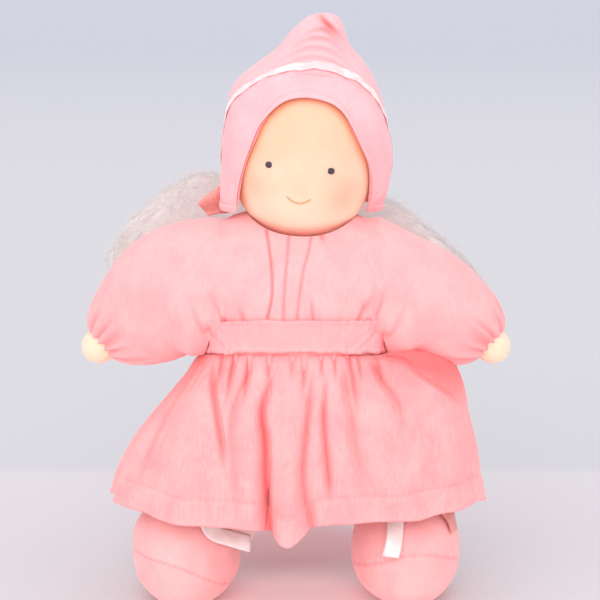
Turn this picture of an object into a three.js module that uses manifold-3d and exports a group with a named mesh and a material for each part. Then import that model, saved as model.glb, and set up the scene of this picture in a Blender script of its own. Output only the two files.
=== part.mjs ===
// A soft cloth doll that stands on two stuffed booties: wool-filled head in a skin-coloured knit,
// pointed velour hood, puffed body and arms, gathered skirt on a waistband, and two wool wings.
// Millimetres, +Z up. The doll faces -Y, so its own left side is +X. The floor is z = 0.
import * as THREE from 'three';
import { mergeVertices } from 'three/addons/utils/BufferGeometryUtils.js';
import Module from 'manifold-3d';

const wasm = await Module();
wasm.setup();

// Cloth, thread and clearances
const SEAM_GAP = 0.3; // between two pieces that touch
const TURN_GAP = 1.2; // between the head and the collar that it turns in
const VELOUR = 1.4; // pile cloth of body, hood and skirt
const JERSEY = 0.8; // skin-coloured knit
const THREAD = 0.7; // radius of a tying thread
const RIBBON = 0.5; // thickness of the satin ribbons
const OVERRUN = 3; // how far a cutting shape runs past what it cuts

// Body
const SEAT_HEIGHT = 116; // floor to the flat underside of the body
const TORSO_HEIGHT = 125; // underside to the top of the shoulders
const CHEST_HALF_WIDTH = 61;
const CHEST_HALF_DEPTH = 43;
const TORSO_LEAN = 10; // how far the shoulders stand behind the seat
const WAIST_ABOVE_SEAT = 49; // where bodice and drawers meet, under the band

// Waistband
const BAND_HEIGHT = 21;
const BAND_THICKNESS = 2.2;
const BAND_TILT = THREE.MathUtils.degToRad(10); // raised over the belly

// Skirt
const SKIRT_LENGTH = 91; // straight down, from the band to the hem
const SKIRT_HALF_WIDTH = 113; // at the hem
const SKIRT_HALF_DEPTH = 58;
const SKIRT_FOLD = 4.5; // height of the hanging folds at the hem
const SKIRT_PLEAT = 6; // the deeper pleat at the middle, front and back
const PLEAT_DROP = 11; // how much lower its tip hangs
const SKIRT_SIDE_RISE = 3; // how much higher the hem hangs at the sides
const SKIRT_FOLDS = 16;

// Arms
const ARMHOLE = 50; // middle of the body to the sleeve seam
const SHOULDER_BELOW_TOP = 38; // top of the shoulders to the middle of the armhole
const ARM_REACH = 69.3; // armhole to hand, sideways
const ARM_DROP = 44; // armhole to hand, down
const SLEEVE_HALF_HEIGHT = 39.6;
const SLEEVE_HALF_DEPTH = 32;
const HAND_RADIUS = 10.5;
const ARM_RAISE = THREE.MathUtils.degToRad(30); // limits of the shoulder's swing
const ARM_LOWER = THREE.MathUtils.degToRad(10);
const ARM_SPARE = THREE.MathUtils.degToRad(8); // past each limit

// Legs and booties
const HIP_SPREAD = 27; // middle of the body to the middle of a leg
const LEG_RADIUS = 20;
const FOOT_SPREAD = 68; // middle of the body to the middle of a foot
const FOOT_BACK = 2; // the middle of a foot stands so far behind the middle of the body
const FOOT_HALF_WIDTH = 33.5;
const FOOT_HALF_LENGTH = 40;
const FOOT_HEIGHT = 62;
const SOLE_FLAT = 0.5; // depth that the sole is pressed flat
const ANKLE_INTO_FOOT = 14; // how deep the leg's end reaches into the bootie
const CUFF_HEIGHT = 14;
const ANKLE_RIBBON_WIDTH = 10;

// Head and neck
const HEAD_RADIUS = 42;
const HEAD_HALF_HEIGHT = 44.5;
const HEAD_ABOVE_NECK = 47.5; // neck point to the middle of the head
const NECK_BELOW_TOP = 19; // top of the shoulders to the point that the head turns about
const NECK_BACK = 8; // and how far behind the middle it stands
const NECK_RADIUS = 12.5;
const NECK_LENGTH = 14;
const HEAD_TILT = THREE.MathUtils.degToRad(5.5); // towards its own left
const HEAD_TURN = THREE.MathUtils.degToRad(-3.5);
const EYE_RADIUS = 1.9;
const EYE_THICKNESS = 0.7;
const EYE_SPREAD = 18.3; // middle of the face to the middle of an eye
const EYE_ABOVE_MIDDLE = 2.3;
const MOUTH_HALF_WIDTH = 6.6;
const MOUTH_BELOW_MIDDLE = 16;
const MOUTH_CURVE = 3.6; // how far the smile dips
const MOUTH_THREAD = 0.5;

// Hood
const HOOD_RADIUS = 51.2;
const HOOD_RIM_ABOVE_NECK = 24; // neck point to the lower edge
const HOOD_HEIGHT = 114; // lower edge to the tip
const HOOD_LEAN = 5; // how far the tip leans aside
const HOOD_BACK = 8; // and back
const HOOD_WALL = 2.2; // doubled velour
const FACE_HALF_WIDTH = 39;
const FACE_ASIDE = 2; // how far the opening's middle lies aside, because the hood sits a little turned
const FACE_HEIGHT = 67; // lower edge of the hood to the top of the face opening
const HOOD_RIBBON_WIDTH = 6;
const HOOD_RIBBON_ABOVE_RIM = 76; // middle of the ribbon above the hood's edge
const HOOD_RIBBON_TILT = THREE.MathUtils.degToRad(40); // high in front, low behind

// Wings
const WING_SPAN = 120; // middle of the body to the tip
const WING_HALF_HEIGHT = 41;
const WING_HALF_THICKNESS = 7;
const WING_BELOW_TOP = 36; // top of the shoulders to the middle of the wings' root
const WING_RISE = 16; // how far the middle of the wing rises above its root
const WING_TIE_RADIUS = 8;

// Steps round the forms
const BODY_STEPS = 20;
const LIMB_STEPS = 12;
const SKIRT_STEPS = 64;
const HEAD_STEPS = 20;
const HEAD_LEVELS = 10;
const HAND_STEPS = 10;
const THREAD_STEPS = 4;

// Colours
const cloth = (color, roughness = 0.9) => new THREE.MeshStandardMaterial({ color, roughness, metalness: 0 });
const PINK = '#f2a7b0';
const PINK_DEEP = '#ea97a3';
const SKIN = '#fbdcbf';
const WOOL = '#efe3d2';
const SATIN = '#fbeeea';
const STITCH = '#5a3a4c';
const LIPS = '#b56a4a';

// The points of one rounded section: a superellipse across two directions.
function section(centre, across, up, halfAcross, halfUp, steps, power = 2) {
  const points = [];
  for (let i = 0; i < steps; i++) {
    const angle = (2 * Math.PI * i) / steps;
    const c = Math.cos(angle);
    const s = Math.sin(angle);
    const a = Math.sign(c) * Math.abs(c) ** (2 / power) * halfAcross;
    const b = Math.sign(s) * Math.abs(s) ** (2 / power) * halfUp;
    points.push(centre.clone().addScaledVector(across, a).addScaledVector(up, b));
  }
  return points;
}

// One closed body through a row of sections, closed by a fan at each end.
function loft(sections) {
  const steps = sections[0].length;
  const points = sections.flat();
  const index = [];
  for (let r = 0; r + 1 < sections.length; r++) {
    for (let i = 0; i < steps; i++) {
      const a = r * steps + i;
      const b = r * steps + ((i + 1) % steps);
      index.push(a, b, b + steps, a, b + steps, a + steps);
    }
  }
  const ends = [0, sections.length - 1];
  for (const r of ends) {
    const middle = new THREE.Vector3();
    sections[r].forEach((p) => middle.addScaledVector(p, 1 / steps));
    const tip = points.push(middle) - 1;
    for (let i = 0; i < steps; i++) {
      const a = r * steps + i;
      const b = r * steps + ((i + 1) % steps);
      index.push(...(r === 0 ? [tip, b, a] : [tip, a, b]));
    }
  }
  const geometry = new THREE.BufferGeometry().setFromPoints(points);
  geometry.setIndex(index);
  return solid(geometry);
}

// A closed geometry as a solid, turned right side out.
function solid(geometry) {
  const bare = geometry.clone();
  bare.deleteAttribute('normal');
  bare.deleteAttribute('uv');
  const merged = mergeVertices(bare);
  const at = (i) => new THREE.Vector3().fromBufferAttribute(merged.attributes.position, merged.index.getX(i));
  const index = Array.from(merged.index.array);
  let volume = 0;
  for (let i = 0; i < index.length; i += 3) volume += at(i).dot(at(i + 1).cross(at(i + 2)));
  if (volume < 0) index.reverse();
  return new wasm.Manifold(
    new wasm.Mesh({
      numProp: 3,
      vertProperties: new Float32Array(merged.attributes.position.array),
      triVerts: new Uint32Array(index),
    }),
  );
}

function toGeometry(body) {
  const mesh = body.getMesh();
  const geometry = new THREE.BufferGeometry();
  geometry.setAttribute('position', new THREE.BufferAttribute(new Float32Array(mesh.vertProperties), 3));
  geometry.setIndex(new THREE.BufferAttribute(new Uint32Array(mesh.triVerts), 1));
  geometry.computeVertexNormals();
  return geometry;
}

function piece(name, body, material, group) {
  const mesh = new THREE.Mesh(toGeometry(body), material);
  mesh.name = name;
  group.add(mesh);
  return mesh;
}

const X = new THREE.Vector3(1, 0, 0);
const Y = new THREE.Vector3(0, 1, 0);
const Z = new THREE.Vector3(0, 0, 1);

function box(lowX, highX, lowY, highY, lowZ, highZ) {
  const shape = new THREE.BoxGeometry(highX - lowX, highY - lowY, highZ - lowZ);
  return solid(shape.translate((lowX + highX) / 2, (lowY + highY) / 2, (lowZ + highZ) / 2));
}

function rod(radius, from, to, steps = LIMB_STEPS) {
  const along = to.clone().sub(from);
  const shape = new THREE.CylinderGeometry(radius, radius, along.length(), steps);
  shape.applyQuaternion(new THREE.Quaternion().setFromUnitVectors(Y, along.clone().normalize()));
  const middle = from.clone().add(to).divideScalar(2);
  return solid(shape.translate(middle.x, middle.y, middle.z));
}

function ball(radius, middle, steps = HAND_STEPS) {
  const shape = new THREE.SphereGeometry(radius, steps, steps / 2);
  return solid(shape.translate(middle.x, middle.y, middle.z));
}

// A ring of thread round an axis.
function threadRing(radius, thread, middle, axis, steps = LIMB_STEPS) {
  const shape = new THREE.TorusGeometry(radius, thread, THREAD_STEPS, steps);
  shape.applyQuaternion(new THREE.Quaternion().setFromUnitVectors(Z, axis.clone().normalize()));
  return solid(shape.translate(middle.x, middle.y, middle.z));
}

const shoulderTop = SEAT_HEIGHT + TORSO_HEIGHT;
const shoulderHeight = shoulderTop - SHOULDER_BELOW_TOP;
const doll = new THREE.Group();
const head = new THREE.Group();
head.position.set(0, NECK_BACK, shoulderTop - NECK_BELOW_TOP);
head.rotation.set(0, HEAD_TILT, HEAD_TURN, 'YZX');
doll.add(head);
head.updateMatrixWorld(true);
const inDoll = (body) => body.transform(head.matrixWorld.elements);

// Head: a ball of wound wool in a knit skin, both running down into a short neck.
const headMiddle = new THREE.Vector3(0, 0, HEAD_ABOVE_NECK);

function headForm(grow) {
  const shape = new THREE.SphereGeometry(1, HEAD_STEPS, HEAD_LEVELS);
  shape.rotateX(Math.PI / 2);
  const radius = HEAD_RADIUS + grow;
  shape.scale(radius, radius, HEAD_HALF_HEIGHT + grow);
  return solid(shape.translate(0, 0, HEAD_ABOVE_NECK));
}

function neck(grow, below) {
  return rod(NECK_RADIUS + grow, new THREE.Vector3(0, 0, -below), headMiddle, HEAD_STEPS);
}

const coreRadius = HEAD_RADIUS - JERSEY - SEAM_GAP;
const eyeLineRadius = coreRadius - THREAD;
const eyeLineGroove = threadRing(eyeLineRadius, THREAD + SEAM_GAP, headMiddle, Z, HEAD_STEPS);
const headSkinCavity = headForm(-JERSEY).add(neck(-JERSEY, NECK_LENGTH + OVERRUN));
const headSkin = headForm(0).add(neck(0, NECK_LENGTH)).subtract(headSkinCavity);
const coreGrow = -JERSEY - SEAM_GAP;
const headCore = headForm(coreGrow).add(neck(coreGrow, NECK_LENGTH)).subtract(eyeLineGroove);
const neckTieRadius = NECK_RADIUS + SEAM_GAP + THREAD;
const neckTieHeight = (HEAD_ABOVE_NECK - HEAD_HALF_HEIGHT - NECK_LENGTH) / 2;
const neckTieMiddle = new THREE.Vector3(0, 0, neckTieHeight);

piece('head_core', headCore, cloth(WOOL), head);
piece('eye_line_tie', threadRing(eyeLineRadius, THREAD, headMiddle, Z, HEAD_STEPS), cloth(WOOL), head);
piece('head_skin', headSkin, cloth(SKIN, 0.8), head);
piece('neck_tie', threadRing(neckTieRadius, THREAD, neckTieMiddle, Z, HEAD_STEPS), cloth(WOOL), head);

// Where the face's surface lies in front of a point across and above the middle of the head.
function faceDepth(across, above, off) {
  const rise = above / (HEAD_HALF_HEIGHT + off);
  const reach = (HEAD_RADIUS + off) * Math.sqrt(1 - rise * rise);
  return -Math.sqrt(reach * reach - across * across);
}

// A satin-stitched dot: the part of a lens that stands out of the skin.
function eye(side) {
  const across = side * EYE_SPREAD;
  const depth = faceDepth(across, EYE_ABOVE_MIDDLE, SEAM_GAP - EYE_THICKNESS);
  const out = new THREE.Vector3(across, depth, EYE_ABOVE_MIDDLE).normalize();
  const shape = new THREE.SphereGeometry(1, LIMB_STEPS, LIMB_STEPS / 2);
  shape.scale(EYE_RADIUS, 2 * EYE_THICKNESS, EYE_RADIUS);
  shape.applyQuaternion(new THREE.Quaternion().setFromUnitVectors(Y, out));
  shape.translate(across, depth, HEAD_ABOVE_NECK + EYE_ABOVE_MIDDLE);
  return solid(shape).subtract(headForm(SEAM_GAP));
}
piece('eye_left', eye(1), cloth(STITCH, 0.6), head);
piece('eye_right', eye(-1), cloth(STITCH, 0.6), head);

function mouth() {
  const route = [];
  const stitches = 8;
  for (let i = 0; i <= stitches; i++) {
    const share = (2 * i) / stitches - 1;
    const across = share * MOUTH_HALF_WIDTH;
    const above = -MOUTH_BELOW_MIDDLE - MOUTH_CURVE * (1 - share * share);
    const depth = faceDepth(across, above, SEAM_GAP + MOUTH_THREAD);
    route.push(new THREE.Vector3(across, depth, HEAD_ABOVE_NECK + above));
  }
  const outline = new THREE.Shape().absarc(0, 0, MOUTH_THREAD, 0, 2 * Math.PI);
  const along = new THREE.CatmullRomCurve3(route);
  const shape = new THREE.ExtrudeGeometry(outline, { steps: stitches, curveSegments: 3, extrudePath: along });
  return solid(shape);
}
piece('mouth', mouth(), cloth(LIPS, 0.6), head);

// Hood: a pointed cap, nearly round at the ears, with an arched opening for the face.
const hoodHeightShares = [0, 0.083, 0.235, 0.391, 0.522, 0.626, 0.713, 0.791, 0.852, 0.913, 0.965, 1];
const hoodRadiusShares = [0.965, 0.995, 1, 0.973, 0.928, 0.84, 0.7, 0.535, 0.41, 0.31, 0.2, 0.09];
const hoodLeanShares = [0.3, 0.3, 0.3, 0, -0.4, -0.5, -0.3, 0, 0.1, 0.4, 0.8, 1];
const hoodBackShares = [0.25, 0.25, 0.25, 0.25, 0.3, 0.35, 0.45, 0.55, 0.65, 0.8, 0.9, 1];

function hoodForm(grow, below = 0) {
  return loft(
    hoodHeightShares.map((share, i) => {
      const last = i === hoodHeightShares.length - 1;
      const height = HOOD_RIM_ABOVE_NECK + HOOD_HEIGHT * share + (last ? grow : 0) - (i ? 0 : below);
      const middle = new THREE.Vector3(hoodLeanShares[i] * HOOD_LEAN, hoodBackShares[i] * HOOD_BACK, height);
      const radius = Math.max(HOOD_RADIUS * hoodRadiusShares[i] + grow, THREAD);
      return section(middle, X, Y, radius, radius, HEAD_STEPS);
    }),
  );
}

// Half widths of the face opening, from the lower edge of the hood up to the top of the arch.
const openingHeightShares = [0, 0.1, 0.25, 0.42, 0.54, 0.77, 0.9, 0.98];
const openingWidthShares = [1.1, 0.97, 1, 0.95, 0.84, 0.66, 0.46, 0.22];

function faceOpening(grow) {
  const outline = new THREE.Shape();
  const half = openingHeightShares.map((share, i) => {
    const across = FACE_HALF_WIDTH * openingWidthShares[i] + grow;
    return new THREE.Vector2(across, HOOD_RIM_ABOVE_NECK + FACE_HEIGHT * share);
  });
  const low = HOOD_RIM_ABOVE_NECK - OVERRUN;
  const top = new THREE.Vector2(0, HOOD_RIM_ABOVE_NECK + FACE_HEIGHT + grow);
  const mirrored = half.map((p) => new THREE.Vector2(-p.x, p.y)).reverse();
  outline.setFromPoints([
    new THREE.Vector2(half[0].x, low),
    ...half,
    top,
    ...mirrored,
    new THREE.Vector2(-half[0].x, low),
  ]);
  const depth = HOOD_RADIUS + HOOD_BACK + OVERRUN;
  const shape = new THREE.ExtrudeGeometry(outline, { depth, bevelEnabled: false });
  return solid(shape.rotateX(Math.PI / 2).translate(FACE_ASIDE, 0, 0));
}

const hood = hoodForm(0).subtract(hoodForm(-HOOD_WALL, OVERRUN)).subtract(faceOpening(0));
piece('hood', hood, cloth(PINK), head);

// Loose wool that fills the hood behind and above the head, and holds its point up.
const hoodWool = hoodForm(-HOOD_WALL - SEAM_GAP)
  .subtract(headForm(SEAM_GAP))
  .subtract(faceOpening(HOOD_WALL));
piece('hood_stuffing', hoodWool, cloth(WOOL), head);

// Satin ribbon sewn round the hood, high in front and low at the nape.
const hoodRibbonSpan = 2 * (HOOD_RADIUS + HOOD_BACK + HOOD_HEIGHT);
const hoodRibbonDip = (HOOD_RADIUS / 2) * Math.tan(HOOD_RIBBON_TILT);
const hoodRibbonMiddle = HOOD_RIM_ABOVE_NECK + HOOD_RIBBON_ABOVE_RIM - hoodRibbonDip;
const hoodRibbonPlane = new THREE.BoxGeometry(hoodRibbonSpan, hoodRibbonSpan, HOOD_RIBBON_WIDTH);
hoodRibbonPlane.rotateX(-HOOD_RIBBON_TILT);
hoodRibbonPlane.translate(0, 0, hoodRibbonMiddle);
const hoodRibbon = hoodForm(SEAM_GAP + RIBBON)
  .subtract(hoodForm(SEAM_GAP, OVERRUN))
  .intersect(solid(hoodRibbonPlane))
  .subtract(faceOpening(SEAM_GAP));
piece('hood_ribbon', hoodRibbon, cloth(SATIN, 0.35), head);

// Body: one swelling form, flat below where the legs are sewn on and hollowed above for the head.
const torsoHeightShares = [0, 0.08, 0.24, 0.39, 0.55, 0.68, 0.79, 0.87, 0.94, 0.98, 1];
const torsoWidthShares = [0.76, 0.83, 0.87, 0.885, 0.95, 0.984, 0.95, 0.885, 0.754, 0.59, 0.39];
const torsoDepthShares = [0.72, 0.86, 0.94, 0.953, 1, 0.98, 0.884, 0.767, 0.628, 0.488, 0.326];
const torsoLeanShares = [-0.1, -0.16, -0.2, -0.2, -0.05, 0.12, 0.3, 0.5, 0.7, 0.8, 0.9];
const torsoPower = 2.6;

// The value that a row of the body's shares has at a height above the floor.
function torsoShare(shares, height) {
  const level = (height - SEAT_HEIGHT) / TORSO_HEIGHT;
  const next = torsoHeightShares.findIndex((share) => share >= level);
  const from = torsoHeightShares[next - 1];
  const part = (level - from) / (torsoHeightShares[next] - from);
  return shares[next - 1] + (shares[next] - shares[next - 1]) * part;
}

function torsoForm(grow) {
  const last = torsoHeightShares.length - 1;
  return loft(
    torsoHeightShares.map((share, i) => {
      const ends = i === 0 ? -grow : i === last ? grow : 0;
      const height = SEAT_HEIGHT + TORSO_HEIGHT * share + ends;
      const middle = new THREE.Vector3(0, TORSO_LEAN * torsoLeanShares[i], height);
      const halfWidth = CHEST_HALF_WIDTH * torsoWidthShares[i] + grow;
      const halfDepth = CHEST_HALF_DEPTH * torsoDepthShares[i] + grow;
      return section(middle, X, Y, halfWidth, halfDepth, BODY_STEPS, torsoPower);
    }),
  );
}

const far = CHEST_HALF_WIDTH + SKIRT_HALF_WIDTH + TORSO_HEIGHT;
const waist = SEAT_HEIGHT + WAIST_ABOVE_SEAT;
const above = (z) => box(-far, far, -far, far, z, z + far);
const within = (x) => box(-x, x, -far, far, 0, SEAT_HEIGHT + far);

// The space above a plane that lies level with the waistband, so many millimetres over its middle.
function overBand(height) {
  const shape = new THREE.BoxGeometry(2 * far, 2 * far, far);
  shape.translate(0, 0, far / 2 + height);
  shape.rotateX(-BAND_TILT);
  return solid(shape.translate(0, 0, waist));
}
const armholes = (gap) => overBand(BAND_HEIGHT / 2).subtract(within(ARMHOLE - gap));
const headBowl = (grow) => inDoll(headForm(TURN_GAP + grow));
const pocketGrow = 2 * (SEAM_GAP + THREAD) + TURN_GAP;
const neckPocket = (grow) => inDoll(neck(pocketGrow + grow, NECK_LENGTH + SEAM_GAP));

const bodiceHollow = torsoForm(-VELOUR).subtract(headBowl(VELOUR));
const bodice = torsoForm(0)
  .subtract(headBowl(0))
  .subtract(bodiceHollow)
  .subtract(neckPocket(0))
  .intersect(above(waist + SEAM_GAP / 2))
  .subtract(armholes(SEAM_GAP / 2));
piece('bodice', bodice, cloth(PINK), doll);

const drawers = torsoForm(0).subtract(torsoForm(-VELOUR)).subtract(above(waist - SEAM_GAP / 2));
piece('drawers', drawers, cloth(PINK_DEEP), doll);

const torsoStuffing = torsoForm(-VELOUR - SEAM_GAP)
  .subtract(headBowl(VELOUR + SEAM_GAP))
  .subtract(neckPocket(SEAM_GAP))
  .subtract(armholes(SEAM_GAP));
piece('torso_stuffing', torsoStuffing, cloth(WOOL), doll);

// Waistband: a strip of the same cloth round the waist, raised over the belly.
const waistband = torsoForm(SEAM_GAP + BAND_THICKNESS)
  .subtract(torsoForm(SEAM_GAP))
  .intersect(overBand(-BAND_HEIGHT / 2))
  .subtract(overBand(BAND_HEIGHT / 2));
piece('waistband', waistband, cloth(PINK), doll);

// Skirt: one gathered sheet that hangs in folds, with a deeper pleat at the middle, front and back.
const skirtDropShares = [0, 0.15, 0.4, 0.75, 1];
const skirtSpreadShares = [0, 0.28, 0.62, 0.94, 1];
const skirtFoldShares = [0, 0.35, 0.65, 1, 1];
const waistWidth = CHEST_HALF_WIDTH * torsoShare(torsoWidthShares, waist) + SEAM_GAP + BAND_THICKNESS;
const waistDepth = CHEST_HALF_DEPTH * torsoShare(torsoDepthShares, waist) + SEAM_GAP + BAND_THICKNESS;
const waistLean = TORSO_LEAN * torsoShare(torsoLeanShares, waist);
const pleatWidthShare = 0.14;
const pleatAsideShare = -0.05;
const bandFoot = waist - BAND_HEIGHT / 2 / Math.cos(BAND_TILT) - SEAM_GAP;

function skirtPoint(angle, ring, grow) {
  const spread = skirtSpreadShares[ring];
  const power = torsoPower + (2 - torsoPower) * spread;
  const c = Math.sign(Math.cos(angle)) * Math.abs(Math.cos(angle)) ** (2 / power);
  const s = Math.sign(Math.sin(angle)) * Math.abs(Math.sin(angle)) ** (2 / power);
  const pleat = Math.exp(-(((Math.cos(angle) - pleatAsideShare) / pleatWidthShare) ** 2));
  const fold = Math.cos(SKIRT_FOLDS * angle) * SKIRT_FOLD * (1 - pleat) + pleat * SKIRT_PLEAT;
  const out = skirtFoldShares[ring] * fold + grow;
  const halfWidth = waistWidth + (SKIRT_HALF_WIDTH - waistWidth) * spread + out;
  const halfDepth = waistDepth + (SKIRT_HALF_DEPTH - waistDepth) * spread + out;
  const x = halfWidth * c;
  const y = halfDepth * s + waistLean * (1 - spread);
  const top = bandFoot - (waistDepth * s + waistLean) * Math.tan(BAND_TILT);
  const hem = bandFoot - SKIRT_LENGTH + SKIRT_SIDE_RISE * c * c - PLEAT_DROP * pleat;
  return new THREE.Vector3(x, y, top + (hem - top) * skirtDropShares[ring]);
}

function skirt() {
  const rings = skirtDropShares.map((_, ring) => ring);
  const outer = rings.map((ring) => ({ ring, grow: VELOUR }));
  const inner = rings.map((ring) => ({ ring, grow: 0 })).reverse();
  const profile = [...outer, ...inner];
  const points = [];
  const index = [];
  profile.forEach(({ ring, grow }) => {
    for (let i = 0; i < SKIRT_STEPS; i++) {
      points.push(skirtPoint((2 * Math.PI * i) / SKIRT_STEPS, ring, grow));
    }
  });
  profile.forEach((_, r) => {
    const next = (r + 1) % profile.length;
    for (let i = 0; i < SKIRT_STEPS; i++) {
      const j = (i + 1) % SKIRT_STEPS;
      const a = r * SKIRT_STEPS + i;
      const b = r * SKIRT_STEPS + j;
      const c = next * SKIRT_STEPS + j;
      const d = next * SKIRT_STEPS + i;
      index.push(a, b, c, a, c, d);
    }
  });
  const geometry = new THREE.BufferGeometry().setFromPoints(points);
  geometry.setIndex(index);
  return solid(geometry);
}
piece('skirt', skirt(), cloth(PINK), doll);

// Arms: a puffed sleeve from the armhole down to the gathered wrist, drawn along its middle line.
const sleeveReachShares = [0, 0.187, 0.411, 0.62, 0.8, 0.938, 0.94];
const sleeveDropShares = [0, 0.15, 0.285, 0.445, 0.64, 0.818, 0.857];
const sleeveHeightShares = [0.884, 1, 1.02, 0.94, 0.735, 0.49, 0.2];
const sleeveDepthShares = [0.94, 1, 0.97, 0.87, 0.68, 0.46, 0.25];
const sleeveTilts = [0, 4, 8, 13, 18, 25, 56].map(THREE.MathUtils.degToRad);

// The arm's direction at a section, pointing to the hand.
const armOut = (side, tilt) => new THREE.Vector3(side * Math.cos(tilt), 0, -Math.sin(tilt));

function armMiddle(side, reach, drop) {
  return new THREE.Vector3(side * (ARMHOLE + ARM_REACH * reach), 0, shoulderHeight - ARM_DROP * drop);
}

function sleeveForm(side, grow, openBack) {
  const last = sleeveTilts.length - 1;
  return loft(
    sleeveTilts.map((tilt, i) => {
      const along = i === 0 ? (openBack ? -OVERRUN : SEAM_GAP / 2 - grow) : i >= last - 1 ? grow : 0;
      const middle = armMiddle(side, sleeveReachShares[i], sleeveDropShares[i]);
      middle.addScaledVector(armOut(side, tilt), along);
      const up = new THREE.Vector3(side * Math.sin(tilt), 0, Math.cos(tilt));
      const halfHeight = SLEEVE_HALF_HEIGHT * sleeveHeightShares[i] + grow;
      const halfDepth = SLEEVE_HALF_DEPTH * sleeveDepthShares[i] + grow;
      return section(middle, up, Y, halfHeight, halfDepth, LIMB_STEPS);
    }),
  );
}

// A body as the arm meets it once the arm has been raised by an angle about the shoulder.
function swung(body, side, angle) {
  const toShoulder = new THREE.Matrix4().makeTranslation(side * ARMHOLE, 0, shoulderHeight);
  const turn = new THREE.Matrix4().makeRotationY(side * angle);
  const move = toShoulder.clone().multiply(turn).multiply(toShoulder.clone().invert());
  return body.transform(move.elements);
}

function bodySide(side) {
  return side > 0 ? box(-far, ARMHOLE, -far, far, 0, 2 * far) : box(-ARMHOLE, far, -far, far, 0, 2 * far);
}

// The room that the body and its waistband take up below the armholes.
function waistSpace(grow) {
  const bandTop = overBand(BAND_HEIGHT / 2 + SEAM_GAP + grow);
  return torsoForm(2 * SEAM_GAP + BAND_THICKNESS + grow).subtract(bandTop);
}

function arm(side, name) {
  const hand = armMiddle(side, 1, 1);
  const wristTilt = sleeveTilts.at(-1);
  const wrist = armMiddle(side, sleeveReachShares.at(-1), sleeveDropShares.at(-1));
  const out = armOut(side, wristTilt);
  const wristRadius = SLEEVE_HALF_HEIGHT * sleeveHeightShares.at(-1);
  const handSpace = ball(HAND_RADIUS + SEAM_GAP, hand);
  const wristHole = rod(wristRadius - VELOUR, wrist.clone().addScaledVector(out, -OVERRUN), hand);

  const sleeveHollow = sleeveForm(side, -VELOUR, true).subtract(waistSpace(VELOUR));
  const sleeve = sleeveForm(side, 0, false)
    .subtract(waistSpace(0))
    .subtract(sleeveHollow)
    .subtract(wristHole)
    .subtract(handSpace);
  piece(`sleeve_${name}`, sleeve, cloth(PINK), doll);

  const stuffing = sleeveForm(side, -VELOUR - SEAM_GAP, false)
    .subtract(swung(bodySide(side), side, ARM_RAISE + ARM_SPARE))
    .subtract(swung(bodySide(side), side, -ARM_LOWER - ARM_SPARE))
    .subtract(waistSpace(VELOUR + SEAM_GAP))
    .subtract(swung(waistSpace(VELOUR + SEAM_GAP), side, -ARM_LOWER))
    .subtract(handSpace);
  piece(`arm_stuffing_${name}`, stuffing, cloth(WOOL), doll);

  const wristSpot = wrist.clone().addScaledVector(out, -HAND_RADIUS);
  const handSkin = ball(HAND_RADIUS, hand)
    .subtract(ball(HAND_RADIUS - JERSEY, hand))
    .subtract(rod(wristRadius / 2, wristSpot, hand));
  piece(`hand_skin_${name}`, handSkin, cloth(SKIN, 0.8), doll);
  piece(`hand_stuffing_${name}`, ball(HAND_RADIUS - JERSEY - SEAM_GAP, hand), cloth(WOOL), doll);
}
arm(1, 'left');
arm(-1, 'right');

// Legs: soft tubes from the flat underside of the body into the booties.
const ankleHeight = FOOT_HEIGHT - ANKLE_INTO_FOOT;
const legHeightShares = [1, 0.66, 0.36, 0.2, 0];
const legSpreadShares = [0, 0.36, 0.68, 0.82, 1];
const legRadiusShares = [1, 1, 0.85, 0.72, 0.68];
const legEndSpread = FOOT_SPREAD - 0.18 * FOOT_HALF_WIDTH;

// The leg from the hip down to its end in the bootie, run on past each end by a length.
function legForm(side, grow, below, over) {
  const top = SEAT_HEIGHT - SEAM_GAP;
  const middles = legHeightShares.map((share, i) => {
    const spread = HIP_SPREAD + (legEndSpread - HIP_SPREAD) * legSpreadShares[i];
    return new THREE.Vector3(side * spread, 0, ankleHeight + (top - ankleHeight) * share);
  });
  const runOn = (end, next, length) => {
    const step = end.clone().sub(next);
    return end.clone().addScaledVector(step, length / Math.abs(step.z));
  };
  const ends = [runOn(middles[0], middles[1], over), runOn(middles.at(-1), middles.at(-2), below)];
  middles[0] = ends[0];
  middles[middles.length - 1] = ends[1];
  return loft(
    middles.map((middle, i) => {
      const radius = LEG_RADIUS * legRadiusShares[i] + grow;
      return section(middle, X, Y, radius, radius, LIMB_STEPS);
    }),
  );
}

// Bootie: a round, stuffed foot. Its sides are round and its sole is long and flat.
const footLevels = 8;
const sideFullness = 2.5;
const soleFullness = 4;

function footForm(side, grow) {
  const halfHeight = (FOOT_HEIGHT + SOLE_FLAT) / 2;
  const soleLevel = SOLE_FLAT / halfHeight - 1;
  const middle = new THREE.Vector3(side * FOOT_SPREAD, FOOT_BACK, halfHeight - SOLE_FLAT);
  const sections = [];
  for (let i = 0; i <= footLevels; i++) {
    const level = Math.max(Math.sin(Math.PI * (i / footLevels - 0.5)) * (1 - 1e-3), soleLevel);
    const lengthPower = level < 0 ? soleFullness : sideFullness;
    const halfWidth = (FOOT_HALF_WIDTH + grow) * (1 - Math.abs(level) ** sideFullness) ** (1 / sideFullness);
    const halfLength = (FOOT_HALF_LENGTH + grow) * (1 - Math.abs(level) ** lengthPower) ** (1 / lengthPower);
    const at = middle.clone().addScaledVector(Z, level * (halfHeight + grow));
    sections.push(section(at, X, Y, halfWidth, halfLength, LIMB_STEPS));
  }
  return loft(sections);
}

const cuffFoot = FOOT_HEIGHT - ANKLE_INTO_FOOT / 2;
const cuffTop = FOOT_HEIGHT + CUFF_HEIGHT;
const ribbonFoot = FOOT_HEIGHT + SEAM_GAP;
const slice = (low, high) => box(-far, far, -far, far, low, high);

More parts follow.
